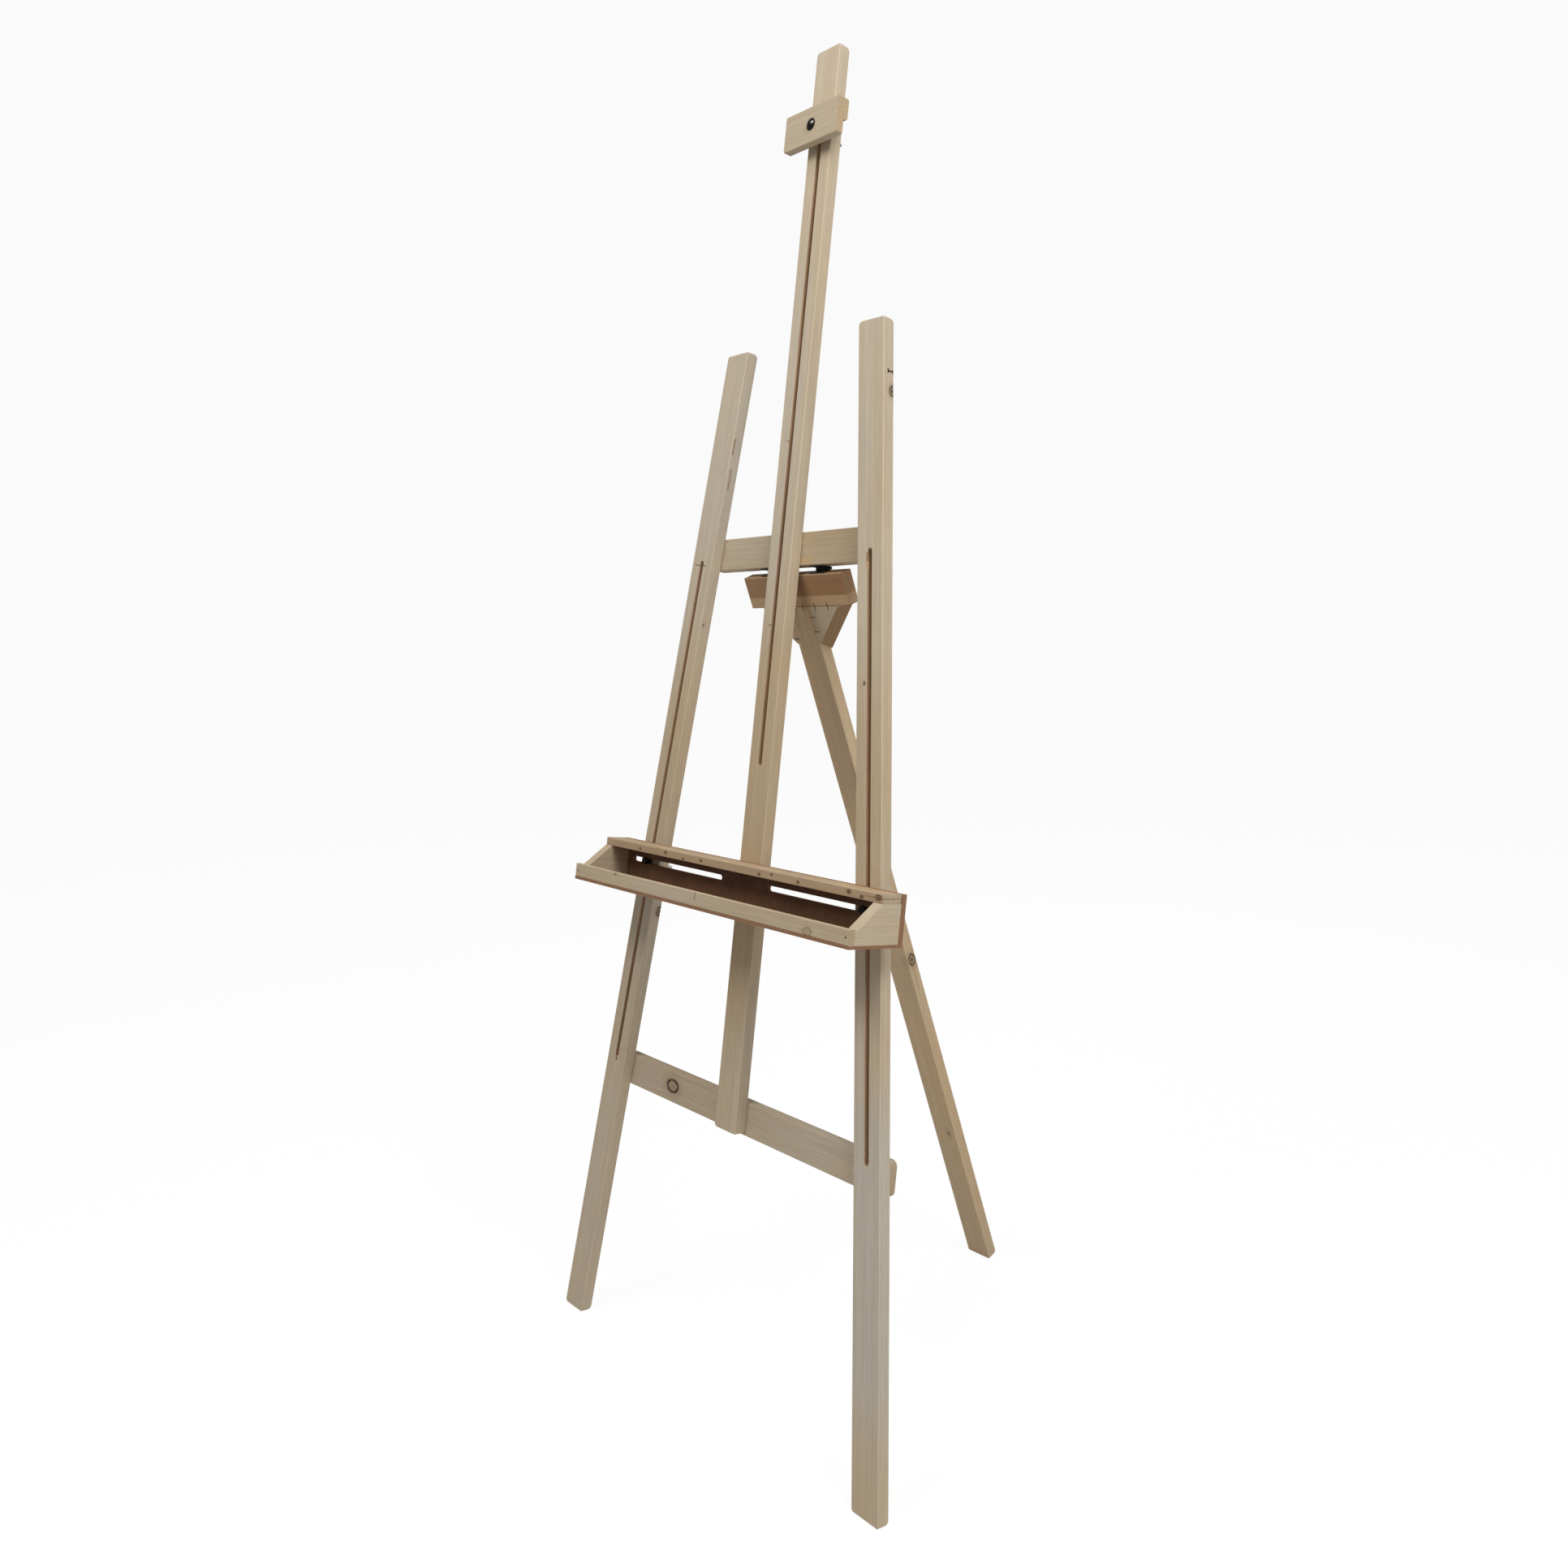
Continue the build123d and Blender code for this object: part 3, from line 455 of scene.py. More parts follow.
def pine(name, board, seed, pith=(0.0, -60.0), tint=None, tint_amount=0.0, half=BOARD / 2,
         knots=(), marks=(), zones=(), specks=(34.0, 0.9, 0.12), slot=None, ring_scale=1.0, contrast=1.0,
         shade=1.0, sawn_tone=None, sawn_amount=0.55):
    """Planed softwood for one board.

    knots are (place, facing, radius in mm, strength, how dark the heart is);
    marks are (place, half size in mm, strength, colour), with no colour for a dark mark;
    zones are (from, to, colour, amount) for slow changes of tone along the board;
    specks are cell size and speck size in mm and the share of cells that hold one;
    slot is the half width in mm of a routed slot and the places of its two ends.
    """
    finish = bpy.context.scene.easel_finish
    grain = bpy.context.scene.easel_grain
    made, tree, surface = new_material(name, 0.62, 0.32)
    place, normal = board_place(tree, board)

    swell = 0.0
    knot_parts = []
    for where, facing, radius, strength, *heart in knots:
        parts = placed(tree, "knot", {
            "Vector": place, "Centre": board.local(where), "Across": facing, "Radius": radius * MM,
        })
        swell = maths(tree, "ADD", parts["Swell"], swell)
        knot_parts.append((parts, strength, heart[0] if heart else 0.9 * strength * strength))

    figure = placed(tree, "softwood figure", {
        "Vector": place, "Pith": Vector((pith[0], 0, pith[1])) * MM, "Spacing": grain.ring * ring_scale,
        "Wander": grain.wander, "Swell": swell, "Seed": float(seed),
    })
    base = mix(tree, maths(tree, "MULTIPLY", figure["Tone"], 0.30), finish.pine, finish.warm)
    base = mix(tree, maths(tree, "MULTIPLY", figure["Cool"], 0.42), base, finish.grey)
    late = maths(tree, "MULTIPLY", figure["Rings"], grain.contrast * contrast)
    base = mix(tree, late, base, finish.late_wood)
    if tint:
        base = mix(tree, tint_amount, base, tint)
    if zones:
        along = node(tree, "ShaderNodeSeparateXYZ", {0: place}).outputs["Y"]
        along = maths(tree, "ADD", along, maths(tree, "MULTIPLY", figure["Tone"], 40 * MM))
    for low, high, tone, amount in zones:
        low, high = board.local(low).y, board.local(high).y
        reach = smooth(tree, along, low - 70 * MM, low + 70 * MM)
        reach = maths(tree, "MULTIPLY", reach, smooth(tree, along, high + 70 * MM, high - 70 * MM))
        base = mix(tree, maths(tree, "MULTIPLY", reach, amount), base, tone)
    fibre = smooth(tree, figure["Fibre"], 0.0, 1.0, 0.90 * shade, 1.05 * shade)
    fibre_tone = node(tree, "ShaderNodeCombineColor", {0: fibre, 1: fibre, 2: fibre}).outputs[0]
    base = mix(tree, 1.0, base, fibre_tone, "MULTIPLY")

    edge = placed(tree, "arris highlight and grime", {"Vector": place, "Half Size": half, "Width": grain.arris})
    base = mix(tree, maths(tree, "MULTIPLY", edge["Grime"], 0.10), base, finish.warm)
    # Painted highlight: the board's long edges are lightened.
    base = mix(tree, maths(tree, "MULTIPLY", edge["Highlight"], 0.22), base, (0.72, 0.64, 0.51))

    ends = placed(tree, "end grain", {"Vector": place, "Normal": normal, "Along": board.along})
    sawn_tone = sawn_tone or finish.end_grain
    sawn = mix(tree, ends["Speckle"], scaled(sawn_tone, 0.8), scaled(sawn_tone, 1.35))
    sawn = mix(tree, maths(tree, "MULTIPLY", figure["Rings"], 0.55), sawn, finish.late_wood)
    base = mix(tree, maths(tree, "MULTIPLY", ends["Mask"], sawn_amount), base, sawn)

    if slot:
        half_width, low, high = slot
        low, high = board.local(low), board.local(high)
        wall = placed(tree, "thin mark", {
            "Vector": place, "Centre": (low + high) / 2, "Soft": 0.25 * MM,
            "Half Size": ((half_width + 0.1) * MM, (high - low).length / 2, BOARD.z / 2 - 0.25 * MM),
        })
        rough_wall = mix(tree, figure["Fibre"], finish.slot_wall, scaled(finish.slot_wall, 1.7))
        base = mix(tree, maths(tree, "MULTIPLY", wall["Mark"], 0.85), base, rough_wall)

    cell, size, share = specks
    dots = placed(tree, "specks", {
        "Vector": place, "Cell": cell * MM, "Size": size * MM, "Share": share, "Seed": seed * 0.37,
    })
    base = mix(tree, maths(tree, "MULTIPLY", dots["Halo"], 0.30), base, finish.stain)
    base = mix(tree, maths(tree, "MULTIPLY", dots["Speck"], 0.80), base, finish.knot)

    for parts, strength, heart in knot_parts:
        base = mix(tree, maths(tree, "MULTIPLY", parts["Stain"], 0.38 * strength), base, finish.stain)
        base = mix(tree, maths(tree, "MULTIPLY", parts["Outline"], 0.92 * strength), base, finish.knot)
        base = mix(tree, maths(tree, "MULTIPLY", parts["Heart"], heart), base, finish.knot)
    for where, size, strength, tone in marks:
        mark = placed(tree, "thin mark", {
            "Vector": place, "Centre": board.local(where), "Half Size": Vector(size) * MM, "Soft": 0.5 * MM,
        })
        base = mix(tree, maths(tree, "MULTIPLY", mark["Mark"], strength), base, tone or finish.knot)

    tree.links.new(base, surface["Base Color"])
    rough = maths(tree, "ADD", smooth(tree, figure["Fibre"], 0.0, 1.0, 0.56, 0.70),
                  maths(tree, "MULTIPLY", ends["Mask"], 0.15))
    tree.links.new(rough, surface["Roughness"])
    relief = maths(tree, "ADD", figure["Height"], maths(tree, "MULTIPLY", ends["Speckle"], ends["Mask"]))
    relief = maths(tree, "ADD", relief, maths(tree, "MULTIPLY", dots["Speck"], -2.0))
    bump = node(tree, "ShaderNodeBump", {"Height": relief, "Strength": 0.55, "Distance": grain.relief})
    tree.links.new(bump.outputs[0], surface["Normal"])
    return made


def hardboard(name, board, half, seed, shade):
    """Dark pressed board: matted fibres, a smoother face and fuzzy sawn edges."""
    finish = bpy.context.scene.easel_finish
    made, tree, surface = new_material(name, 0.5, 0.35)
    place, normal = board_place(tree, board)
    mat = noise(tree, vector(tree, "MULTIPLY", place, (1.0, 0.7, 1.0)), 420.0, 5.0, 0.7)
    cloud = noise(tree, vector(tree, "ADD", place, (seed, 0.0, 0.0)), 14.0, 3.0, 0.55)
    pressed = scaled(finish.board, shade)
    base = mix(tree, smooth(tree, mat, 0.35, 0.7), pressed, scaled(pressed, 1.5))
    base = mix(tree, smooth(tree, cloud, 0.35, 0.7, 0.0, 0.5), base, scaled(pressed, 0.55))
    facing = maths(tree, "ABSOLUTE", vector(tree, "DOT_PRODUCT", normal, board.face))
    sawn = smooth(tree, facing, 0.7, 0.3)
    fuzz = noise(tree, vector(tree, "MULTIPLY", place, (1.0, 1.0, 3.0)), 700.0, 3.0, 0.7)
    edge = mix(tree, smooth(tree, fuzz, 0.3, 0.7), finish.board_edge, scaled(finish.board_edge, 1.7))
    base = mix(tree, sawn, base, edge)
    # Painted highlight: the board's edges are lightened.
    rim = placed(tree, "arris highlight and grime", {"Vector": place, "Half Size": half, "Width": 1.0 * MM})
    base = mix(tree, maths(tree, "MULTIPLY", rim["Highlight"], 0.35), base, scaled(finish.board_edge, 2.0))
    dust = placed(tree, "specks", {
        "Vector": place, "Cell": 9 * MM, "Size": 0.5 * MM, "Share": 0.25, "Seed": seed + 2.0,
    })
    base = mix(tree, maths(tree, "MULTIPLY", dust["Speck"], 0.5), base, finish.pine)
    tree.links.new(base, surface["Base Color"])
    tree.links.new(maths(tree, "ADD", maths(tree, "MULTIPLY", sawn, 0.35),
                         smooth(tree, cloud, 0.3, 0.7, 0.42, 0.6)), surface["Roughness"])
    height = maths(tree, "ADD", maths(tree, "MULTIPLY", mat, 0.4), maths(tree, "MULTIPLY", fuzz, sawn))
    bump = node(tree, "ShaderNodeBump", {"Height": height, "Strength": 0.5, "Distance": 0.15 * MM})
    tree.links.new(bump.outputs[0], surface["Normal"])
    return made


def metal(name, tone, rough, seed, painted=False, wear=0.5):
    """Small steel parts: brushed or painted, with rubbed spots and dull film."""
    finish = bpy.context.scene.easel_finish
    made, tree, surface = new_material(name, rough, 0.5, 0.0 if painted else 1.0, 0.15 if painted else 0.0)
    place = tree.nodes.new("ShaderNodeTexCoord").outputs["Object"]
    moved = vector(tree, "ADD", place, (seed, 0.0, 0.0))
    film = noise(tree, moved, 160.0, 4.0, 0.65)
    scratch = noise(tree, vector(tree, "MULTIPLY", moved, (1.0, 1.0, 14.0)), 500.0, 3.0, 0.6)
    worn = smooth(tree, film, 0.56, 0.72, 0.0, wear)
    base = mix(tree, worn, tone, finish.zinc if painted else scaled(tone, 0.55))
    bright = tuple(min(1.0, c * 1.6) for c in tone)
    base = mix(tree, smooth(tree, scratch, 0.5, 0.8, 0.0, 0.25), base, bright)
    tree.links.new(base, surface["Base Color"])
    tree.links.new(maths(tree, "ADD", smooth(tree, film, 0.3, 0.7, rough * 0.8, rough * 1.3),
                         smooth(tree, scratch, 0.4, 0.8, 0.0, 0.1)), surface["Roughness"])
    if painted:
        tree.links.new(maths(tree, "MULTIPLY", worn, 0.9), surface["Metallic"])
    bump = node(tree, "ShaderNodeBump", {"Height": scratch, "Strength": 0.3, "Distance": 0.04 * MM})
    tree.links.new(bump.outputs[0], surface["Normal"])
    return made


def finish_node(name, material):
    """Gives a carried-over CAD node its material."""
    piece = frame["nodes"][name]
    if not piece.material_slots:
        piece.data.materials.append(material)
    for place in piece.material_slots:
        place.link = "OBJECT"
        place.material = material


# ------------------------------------------------------------------ operators
class EASEL_OT_shared(bpy.types.Operator):
    """Build the shader effects that the materials share"""

    bl_idname = "easel.shared_effects"
    bl_label = "Shared Effects"

    def execute(self, context):
        make_shared_effects()
        return {"FINISHED"}


class EASEL_OT_front_frame(bpy.types.Operator):
    """Finish the two front legs, the mast and the two crossbars"""

    bl_idname = "easel.front_frame"
    bl_label = "Front Frame"

    def execute(self, context):
        finish = context.scene.easel_finish
        brown, grey = finish.warm, finish.grey
        legs = {
            "left_leg": dict(
                seed=2, pith=(20.0, -75.0),
                knots=(
                    (at(-169.3, 929.7), FACE_KNOT, 2.0, 1.0),
                    (at(-218.3, 638.0, -15.0), SIDE_KNOT, 4.5, 0.9),
                ),
                marks=(
                    (at(-176.0, 1151.0), (13.0, 0.5, 1.0), 0.75, None),
                    (at(-271.5, 404.5), (1.4, 2.0, 1.0), 0.85, None),
                    (at(-129.0, 1318.0, -4.0), (1.5, 11.0, 1.2), 0.7, finish.stain),
                    (at(-134.5, 1272.0, -6.0), (1.5, 15.0, 1.0), 0.7, finish.stain),
                ),
                specks=(40.0, 0.9, 0.16),
                zones=((at(0, 740), at(0, 1000), brown, 0.40), (at(0, 1180), at(0, 1500), grey, 0.30)),
            ),
            "right_leg": dict(
                seed=5, pith=(-30.0, -90.0),
                knots=(
                    (at(168.0, 1356.0, -15.0), SIDE_KNOT, 4.2, 1.0),
                    (at(186.4, 988.2), FACE_KNOT, 1.6, 1.0),
                ),
                marks=(
                    (at(166.0, 1381.0, -12.0), (1.0, 0.9, 4.0), 1.0, None),
                    (at(166.0, 1381.0, -8.0), (1.0, 2.8, 0.9), 1.0, None),
                    (at(166.0, 1381.0, -16.0), (1.0, 2.2, 0.8), 0.9, None),
                    (at(170.0, 1143.0, 0.0), (2.0, 9.0, 3.0), 0.75, finish.slot_wall),
                    (at(171.0, 1136.0, 0.0), (1.6, 5.0, 3.0), 0.8, (0.66, 0.48, 0.26)),
                ),
                specks=(46.0, 0.8, 0.10),
                zones=(
                    (at(0, 720), at(0, 980), brown, 0.30), (at(0, 90), at(0, 470), grey, 0.75),
                    (at(0, -60), at(0, 60), brown, 0.35),
                ),
            ),
        }
        for name, look in legs.items():
            board = BOARDS[name]
            low, high = (on_leg(board, height) for height in LEG_SLOT)
            finish_node(name, pine(f"pine {name}", board, slot=(SLOT_HALF_WIDTH, low, high), **look))
        mast_slot = (SLOT_HALF_WIDTH, at(0, MAST_SLOT[0], -9), at(0, MAST_SLOT[1], -9))
        finish_node("mast", pine(
            "pine mast", BOARDS["mast"], seed=8, pith=(35.0, -60.0), slot=mast_slot,
            marks=(
                (at(-6.3, 1311.4), (3.0, 0.5, 1.0), 0.6, None),
                (at(-6.1, 1062.7), (4.0, 0.5, 1.0), 0.6, None),
            ),
            zones=((at(0, 560), at(0, 1080), brown, 0.60),),
        ))
        finish_node("upper_crossbar", pine(
            "pine upper crossbar", BOARDS["upper_crossbar"], seed=11, pith=(10.0, -30.0), contrast=1.7,
            zones=((at(-10, 1167), at(260, 1167), brown, 0.5),), shade=0.90,
            marks=((at(28.5, 1152.0, -18.0), (3.0, 16.0, 1.0), 0.4, (0.62, 0.42, 0.16)),),
        ))
        finish_node("lower_crossbar", pine(
            "pine lower crossbar", BOARDS["lower_crossbar"], seed=14, pith=(-12.0, -34.0), contrast=1.3,
            zones=((at(-400, 390), at(0, 390), brown, 0.2),), shade=0.94,
            knots=(
                (at(-148.0, 392.5, -18), FACE_KNOT, 8.5, 1.0, 0.15),
            ),
        ))
        return {"FINISHED"}


def make_fibres():
    """Geometry nodes that set torn fibres along a line of points on a slot's edge."""
    tree = bpy.data.node_groups.new("torn fibres", "GeometryNodeTree")
    tree.is_modifier = True
    tree.interface.new_socket("Geometry", in_out="INPUT", socket_type="NodeSocketGeometry")
    for label, kind in (("Spacing", "Float"), ("Length", "Float"), ("Width", "Float"), ("Seed", "Int")):
        tree.interface.new_socket(label, in_out="INPUT", socket_type=f"NodeSocket{kind}")
    tree.interface.new_socket("Material", in_out="INPUT", socket_type="NodeSocketMaterial")
    tree.interface.new_socket("Geometry", in_out="OUTPUT", socket_type="NodeSocketGeometry")
    given = tree.nodes.new("NodeGroupInput").outputs
    out = tree.nodes.new("NodeGroupOutput").inputs

    curve = node(tree, "GeometryNodeMeshToCurve", {0: given["Geometry"]})
    points = node(
        tree, "GeometryNodeCurveToPoints",
        {"Curve": curve.outputs[0], "Length": given["Spacing"]}, mode="LENGTH",
    )
    fibre = node(
        tree, "GeometryNodeMeshCone",
        {"Vertices": 5, "Radius Top": maths(tree, "MULTIPLY", given["Width"], 0.12),
         "Radius Bottom": maths(tree, "MULTIPLY", given["Width"], 0.5), "Depth": given["Length"]},
    )
    scale = node(
        tree, "FunctionNodeRandomValue",
        {"Min": (0.6, 0.6, 0.35), "Max": (1.3, 1.3, 1.5), "Seed": given["Seed"]},
        data_type="FLOAT_VECTOR",
    )
    lean_seed = maths(tree, "ADD", given["Seed"], 7.0)
    lean = node(
        tree, "FunctionNodeRandomValue",
        {"Min": (-0.04, -0.04, -3.1), "Max": (0.04, 0.04, 3.1), "Seed": lean_seed},
        data_type="FLOAT_VECTOR",
    )
    lean_turn = node(tree, "FunctionNodeEulerToRotation", {0: lean.outputs[0]})
    turned = node(
        tree, "FunctionNodeRotateRotation",
        {0: points.outputs["Rotation"], 1: lean_turn.outputs[0]},
        rotation_space="LOCAL",
    )
    placed_fibres = node(
        tree, "GeometryNodeInstanceOnPoints",
        {"Points": points.outputs["Points"], "Instance": fibre.outputs["Mesh"],
         "Rotation": turned.outputs[0], "Scale": scale.outputs[0]},
    )
    real = node(tree, "GeometryNodeRealizeInstances", {0: placed_fibres.outputs[0]})
    tinted = node(
        tree, "GeometryNodeSetMaterial", {"Geometry": real.outputs[0], "Material": given["Material"]}
    )
    tree.links.new(tinted.outputs[0], out["Geometry"])
    return tree


class EASEL_OT_fibres(bpy.types.Operator):
    """Set the torn fibres along the mouths of the three long slots"""

    bl_idname = "easel.torn_fibres"
    bl_label = "Torn Fibres"

    def execute(self, context):
        fibres = context.scene.easel_fibres
        finish = context.scene.easel_finish
        made, tree, surface = new_material("torn fibre", 0.8, 0.2)
        place = tree.nodes.new("ShaderNodeTexCoord").outputs["Object"]
        patchy = smooth(tree, noise(tree, place, 300.0, 2.0), 0.35, 0.65)
        tone = mix(tree, patchy, finish.end_grain, finish.pine)
        tree.links.new(tone, surface["Base Color"])

        edit = bmesh.new()
        for line in slot_edges():
            ends = [edit.verts.new(point) for point in line]
            for a, b in zip(ends, ends[1:]):
                edit.edges.new((a, b))
        mesh = bpy.data.meshes.new("slot edges")
        edit.to_mesh(mesh)
        edit.free()
        source = bpy.data.objects.new("slot edges", mesh)
        context.scene.collection.objects.link(source)
        group_tree = make_fibres()
        modifier = source.modifiers.new("torn fibres", "NODES")
        modifier.node_group = group_tree
        values = {
            "Spacing": fibres.spacing, "Length": fibres.length, "Width": fibres.width,
            "Seed": fibres.seed, "Material": made,
        }
        for item in group_tree.interface.items_tree:
            if item.in_out == "INPUT" and item.name in values:
                modifier[item.identifier] = values[item.name]
        context.view_layer.update()
        seen = source.evaluated_get(context.evaluated_depsgraph_get())
        baked = bpy.data.meshes.new_from_object(seen)
        bpy.data.objects.remove(source)
        piece = bpy.data.objects.new("torn_slot_fibres", baked)
        context.scene.collection.objects.link(piece)
        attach(piece, "front_frame")
        return {"FINISHED"}


def slot_edges():
    """Lines along the mouths of the slots, just inside the wood's face."""
    half, depth = 3.65, -0.7
    lines = []
    for name in ("left_leg", "right_leg"):
        board = BOARDS[name]
        across = board.along.cross(board.face)
        lift = board.face * (9 + depth) * MM
        for edge in (-1, 1):
            shift = lift + across * edge * half * MM
            lines.append([on_leg(board, height) + shift for height in (411, 1153)])
        for height in (407.6, 1156.9):
            slot_end = on_leg(board, height) + lift
            lines.append([slot_end - across * 2.6 * MM, slot_end + across * 2.6 * MM])
    for edge in (-1, 1):
        lines.append([at(edge * half, height, depth) for height in (876, 1736)])
    return lines


class EASEL_OT_rear_stand(bpy.types.Operator):
    """Finish the folding rear leg, its head block and its corner pieces"""

    bl_idname = "easel.rear_stand"
    bl_label = "Rear Stand"

    def execute(self, context):
        finish = context.scene.easel_finish
        finish_node("rear_leg", pine(
            "pine rear leg", BOARDS["rear_leg"], seed=17, pith=(18.0, -45.0), contrast=1.9,
            tint=(0.58, 0.39, 0.20), tint_amount=0.55, shade=1.10,
            knots=(
                (PIVOT - REAR_UP * 0.61 + ACROSS * 0.0225 + REAR_OUT * 0.009, SIDE_KNOT, 6.0, 0.9),
                (PIVOT - REAR_UP * 0.93 + ACROSS * 0.008, FACE_KNOT, 5.0, 0.6),
            ),
            marks=(
                (PIVOT - REAR_UP * 0.64 + ACROSS * 0.022 + REAR_OUT * 0.010, (1.0, 22.0, 0.3), 0.6, None),
            ),
        ))
        finish_node("head_block", pine(
            "pine head block", BOARDS["head_block"], seed=21, pith=(-16.0, -30.0), contrast=1.5,
            tint=(0.40, 0.200, 0.080), tint_amount=0.80, sawn_tone=(0.46, 0.28, 0.16), sawn_amount=0.9,
            shade=0.92, zones=((middle("head_block") + ACROSS * 0.05, middle("head_block") + ACROSS * 0.2,
                                (0.36, 0.165, 0.070), 0.5),),
            # The dark tint and the darker right-hand zone are partly the block's own colour and partly painted
            # shade from the crossbar above. The first mark is painted light: a lighter band along the block's
            # lower part. The second is a thin dark line below that band.
            marks=(
                (middle("head_block") - REAR_UP * 0.016, (8.5, 110.0, 20.0), 0.75, (0.62, 0.43, 0.25)),
                (middle("head_block") - REAR_UP * 0.022, (0.7, 110.0, 20.0), 0.7, finish.stain),
            ),
        ))
        for name, seed in (("gusset_left", 24), ("gusset_right", 27)):
            finish_node(name, pine(
                f"pine {name}", BOARDS[name], seed=seed, half=Vector((200, 0, 9)) * MM, shade=0.92,
                tint=finish.warm, tint_amount=0.3, sawn_tone=(0.30, 0.170, 0.080), sawn_amount=0.9,
            ))
        return {"FINISHED"}


class EASEL_OT_tray(bpy.types.Operator):
    """Finish the sliding tray"""

    bl_idname = "easel.tray"
    bl_label = "Tray"

    def execute(self, context):
        finish = context.scene.easel_finish
        finish_node("tray_top_rail", pine(
            "pine rail", BOARDS["tray_top_rail"], seed=31, half=Vector((15.5, 0, 5.75)) * MM, contrast=1.2,
            pith=(8.0, -26.0), tint=(0.50, 0.33, 0.185), tint_amount=0.65, specks=(22.0, 1.2, 0.45),
            sawn_tone=(0.52, 0.43, 0.32), sawn_amount=0.85,
            knots=tuple(
                (at(u, v, 39.0), SIDE_KNOT, radius, 1.0)
                for u, v, radius in (
                    (285.4, 735.0, 2.9), (-204.6, 733.0, 1.4), (-142.0, 735.0, 1.7), (-99.4, 731.5, 1.3),
                    (-58.3, 734.0, 1.6), (66.7, 732.5, 1.5), (91.1, 735.5, 1.3), (143.0, 733.0, 1.6),
                    (235.4, 735.0, 2.0), (257.6, 732.0, 1.8),
                )
            ),
            marks=((at(293.0, 734.5, 24.0), (16.0, 30.0, 0.8), 0.5, finish.stain),),
        ))
        finish_node("tray_lip", pine(
            "pine lip", BOARDS["tray_lip"], seed=34, half=Vector((9.5, 0, 4)) * MM, contrast=0.8,
            pith=(0.0, -40.0), tint=finish.warm, tint_amount=0.25,
            knots=(
                (at(221.2, 685.0, 88.0), FACE_KNOT, 4.5, 0.45),
                (at(-190.0, 697.0, 88.0), FACE_KNOT, 1.6, 0.7),
            ),
            marks=((at(-1.4, 694.0, 88.0), (5.0, 0.5, 6.0), 0.8, None),),
        ))
        for name, seed, amount in (("tray_end_left", 37, 0.35), ("tray_end_right", 39, 0.1)):
            finish_node(name, pine(
                f"pine {name}", BOARDS[name], seed=seed, half=Vector((200, 0, 8)) * MM, contrast=0.5,
                tint=finish.warm, tint_amount=amount, sawn_amount=0.2,
            ))
        finish_node("tray_back_panel", hardboard(
            "hardboard back", BOARDS["tray_back_panel"], Vector((31.75, 0, 4)) * MM, 1.0, 1.6))
        finish_node("tray_bottom_panel", hardboard(
            "hardboard floor", BOARDS["tray_bottom_panel"], Vector((40.3, 0, 2)) * MM, 3.0, 1.7))
        return {"FINISHED"}


class EASEL_OT_top_holder(bpy.types.Operator):
    """Finish the sliding holder that clamps the top of a canvas"""

    bl_idname = "easel.top_holder"
    bl_label = "Top Holder"

    def execute(self, context):
        finish = context.scene.easel_finish
        finish_node("holder_block", pine(
            "pine holder", BOARDS["holder_block"], seed=43, half=Vector((24, 0, 9)) * MM, contrast=0.8,
            ring_scale=0.6, pith=(0.0, -50.0), specks=(60.0, 0.6, 0.05), sawn_amount=0.8, shade=0.92,
            tint=finish.warm, tint_amount=0.25, sawn_tone=(0.50, 0.37, 0.22),
        ))
        return {"FINISHED"}


class EASEL_OT_hardware(bpy.types.Operator):
    """Finish hinges, screws, staples, nails, bolts, washers and wing nuts"""

    bl_idname = "easel.hardware"
    bl_label = "Hardware"

    def execute(self, context):
        finish = context.scene.easel_finish
        black = metal("black hinge steel", finish.black_steel, 0.38, 1.0, painted=True, wear=0.35)
        zinc = metal("zinc plate", finish.zinc, 0.32, 2.0)
        dark = metal("dark steel", finish.dark_steel, 0.40, 3.0, wear=0.7)
        dome = metal("dark polished steel", finish.dark_steel, 0.17, 4.0, wear=0.3)
        looks = (
            (black, ("hinge_frame_leaves", "hinge_rear_leaves", "hinge_pins")),
            (zinc, ("tray_wing_nut_left", "tray_wing_nut_right", "holder_wing_nut", "tray_washer_left",
                    "tray_washer_right", "holder_washer", "crossbar_screws", "hinge_frame_screws",
                    "hinge_rear_screws")),
            (dark, ("staples", "tray_nails", "tray_bolt_left", "tray_bolt_right")),
            (dome, ("holder_bolt",)),
        )
        for material, names in looks:
            for name in names:
                finish_node(name, material)
        return {"FINISHED"}


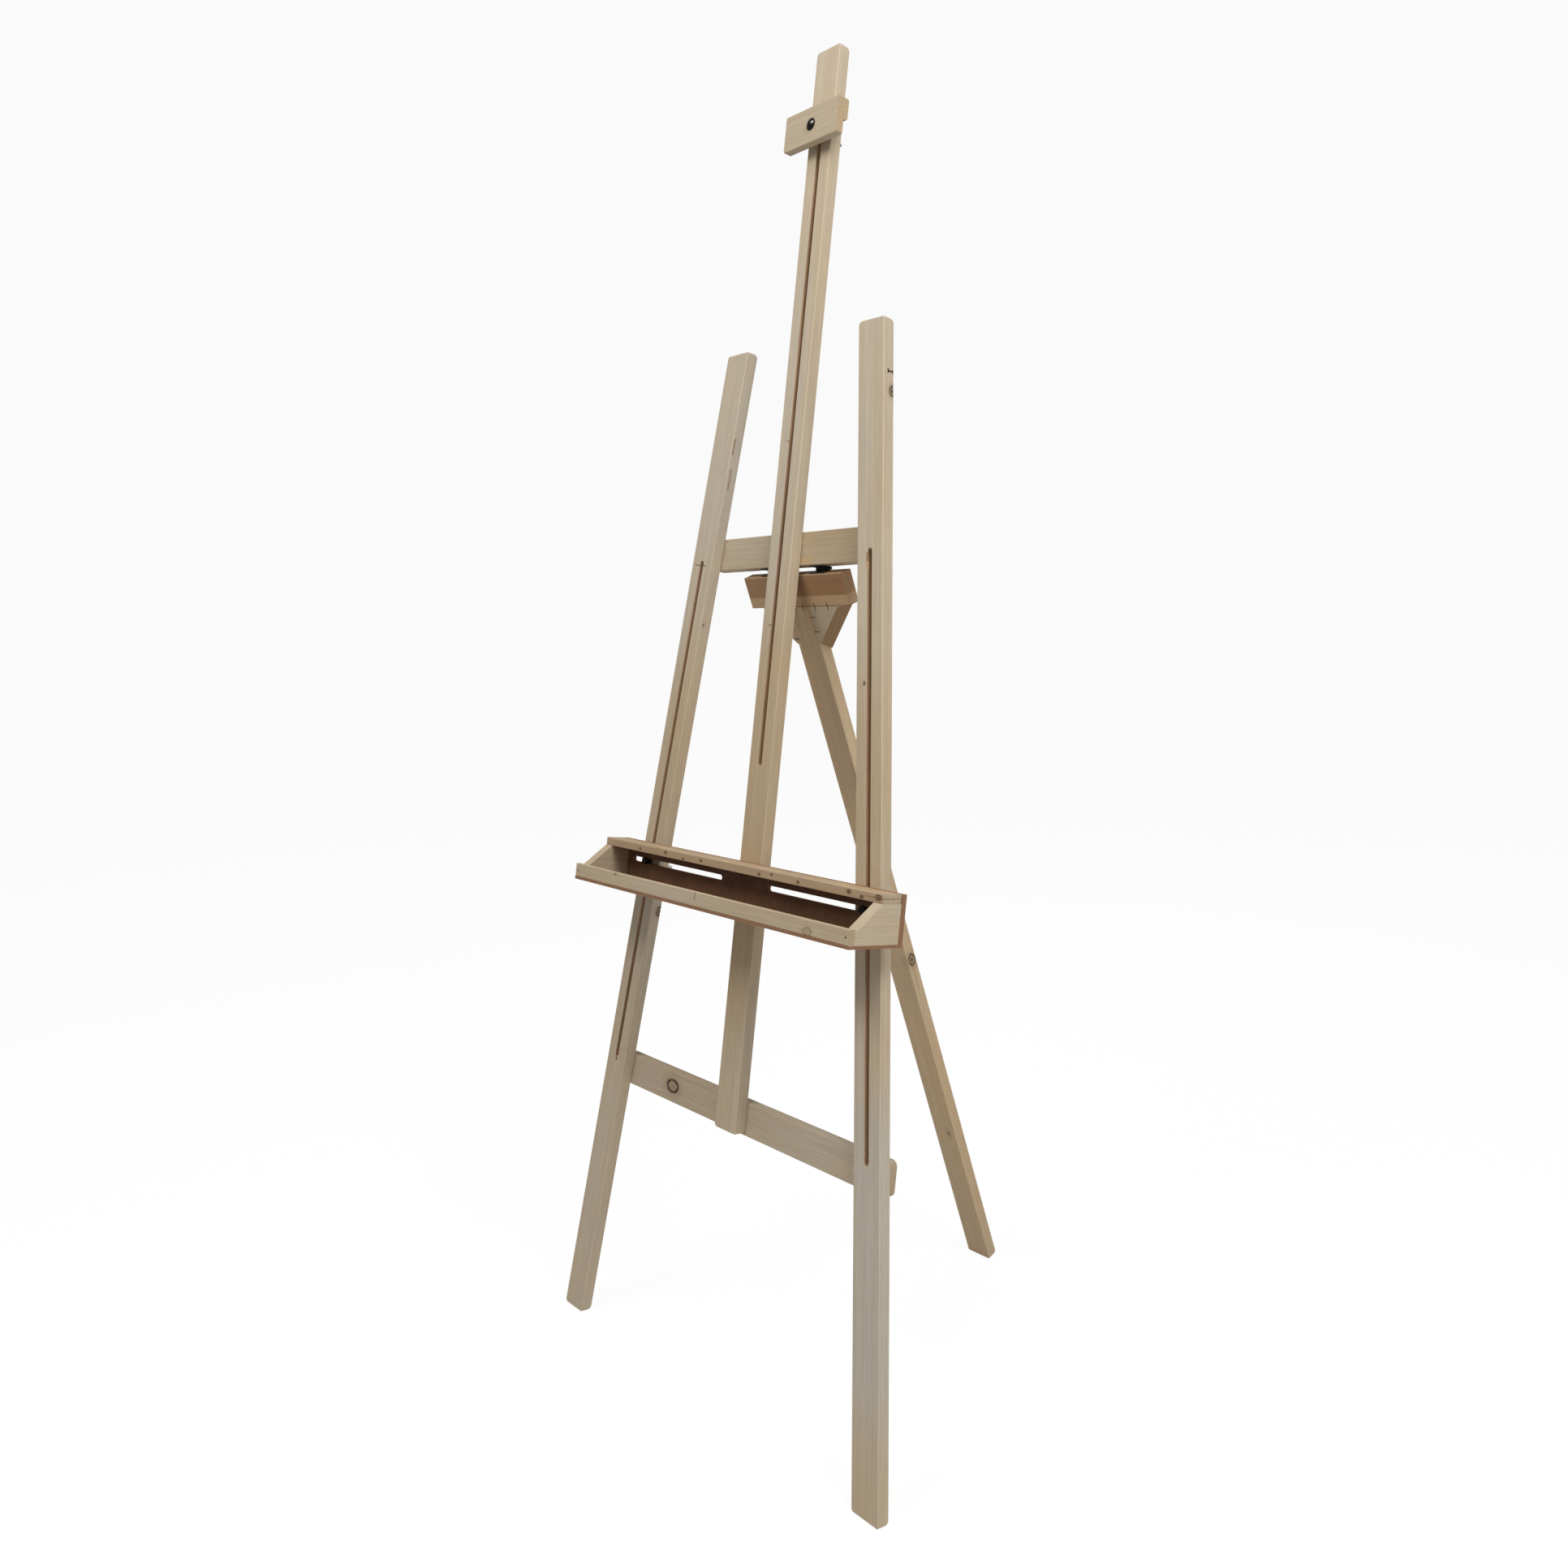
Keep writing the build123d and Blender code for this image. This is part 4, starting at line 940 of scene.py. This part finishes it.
class EASEL_OT_stage(bpy.types.Operator):
    """Set out the pale floor, the soft lights and the camera"""

    bl_idname = "easel.stage"
    bl_label = "Stage"

    def execute(self, context):
        studio = context.scene.easel_studio
        scene = context.scene
        mesh = bpy.data.meshes.new("studio floor")
        edit = bmesh.new()
        bmesh.ops.create_circle(edit, cap_ends=True, segments=96, radius=60.0)
        edit.to_mesh(mesh)
        edit.free()
        floor = bpy.data.objects.new("studio_floor", mesh)
        scene.collection.objects.link(floor)
        made, tree, surface = new_material("pale floor", 0.85, 0.1)
        place = tree.nodes.new("ShaderNodeTexCoord").outputs["Object"]
        grit = noise(tree, place, 30.0, 3.0, 0.6)
        tone = mix(tree, smooth(tree, grit, 0.3, 0.7, 0.0, 1.0), studio.floor, scaled(studio.floor, 0.985))
        seen = tree.nodes.new("ShaderNodeLightPath").outputs["Is Camera Ray"]
        plain = mix(tree, seen, tone, scaled(studio.floor, 0.12))
        tree.links.new(plain, surface["Base Color"])
        surface["Emission Color"].default_value = (1.0, 1.0, 1.0, 1.0)
        tree.links.new(maths(tree, "MULTIPLY", seen, studio.lift), surface["Emission Strength"])
        mesh.materials.append(made)

        world = bpy.data.worlds.new("studio room")
        world.use_nodes = True
        scene.world = world
        tree = world.node_tree
        background = tree.nodes["Background"]
        background.inputs["Color"].default_value = (1.0, 1.0, 1.0, 1.0)
        seen = tree.nodes.new("ShaderNodeLightPath").outputs["Is Camera Ray"]
        strength = node(tree, "ShaderNodeMapRange", {"Value": seen, "To Min": studio.room, "To Max": 0.955})
        tree.links.new(strength.outputs[0], background.inputs["Strength"])

        low, high = cad_box
        target = (low + high) / 2
        lights = (
            ("front light", Vector((-0.2, -1.9, 2.5)), 1.3, studio.front, (1.0, 0.975, 0.93)),
            ("side light", Vector((1.9, -0.45, 2.1)), 1.3, studio.side, (1.0, 0.985, 0.96)),
            ("fill light", Vector((2.7, -0.2, -0.3)), 1.4, studio.fill, (1.0, 0.98, 0.95)),
            ("back light", Vector((-1.4, 2.4, 1.6)), 1.5, studio.back, (1.0, 0.98, 0.94)),
        )
        for name, offset, size, power, tint in lights:
            data = bpy.data.lights.new(name, "AREA")
            data.shape = "DISK"
            data.size = size
            data.energy = power
            data.color = tint
            lamp = bpy.data.objects.new(name, data)
            lamp.location = target + offset
            lamp.rotation_mode = "QUATERNION"
            lamp.rotation_quaternion = (-offset).to_track_quat("-Z", "Y")
            scene.collection.objects.link(lamp)

        data = bpy.data.cameras.new("camera")
        data.sensor_width = 36.0
        data.lens = 29.538
        data.shift_x = 0.0021
        data.shift_y = -0.0012
        camera = bpy.data.objects.new("camera", data)
        camera.location = (1.3357, -1.2551, 1.0698)
        camera.rotation_euler = [math.radians(a) for a in (82.379, 1.603, 49.414)]
        scene.collection.objects.link(camera)
        scene.camera = camera
        scene.view_settings.view_transform = "Standard"
        scene.view_settings.look = "None"
        return {"FINISHED"}


class EASEL_PT_panel(bpy.types.Panel):
    """Steps that build the easel's look"""

    bl_label = "Artist Easel"
    bl_idname = "EASEL_PT_panel"
    bl_space_type = "VIEW_3D"
    bl_region_type = "UI"
    bl_category = "Easel"

    def draw(self, context):
        column = self.layout.column()
        for step in STEPS:
            column.operator(step.bl_idname)
        for holder in (context.scene.easel_finish, context.scene.easel_grain,
                       context.scene.easel_fibres, context.scene.easel_studio):
            for key in holder.__annotations__:
                column.prop(holder, key)


GROUPS = {
    "easel_finish": EaselFinish,
    "easel_grain": EaselGrain,
    "easel_fibres": EaselFibres,
    "easel_studio": EaselStudio,
}
STEPS = (
    EASEL_OT_shared,
    EASEL_OT_front_frame,
    EASEL_OT_fibres,
    EASEL_OT_rear_stand,
    EASEL_OT_tray,
    EASEL_OT_top_holder,
    EASEL_OT_hardware,
    EASEL_OT_stage,
)


def register():
    for name, kind in GROUPS.items():
        bpy.utils.register_class(kind)
        setattr(bpy.types.Scene, name, PointerProperty(type=kind))
    for kind in (*STEPS, EASEL_PT_panel):
        bpy.utils.register_class(kind)


def unregister():
    for kind in (EASEL_PT_panel, *reversed(STEPS)):
        bpy.utils.unregister_class(kind)
    for name, kind in GROUPS.items():
        delattr(bpy.types.Scene, name)
        bpy.utils.unregister_class(kind)


def main():
    register()
    for step in STEPS:
        area, action = step.bl_idname.split(".")
        getattr(getattr(bpy.ops, area), action)()


if __name__ == "__main__":
    main()
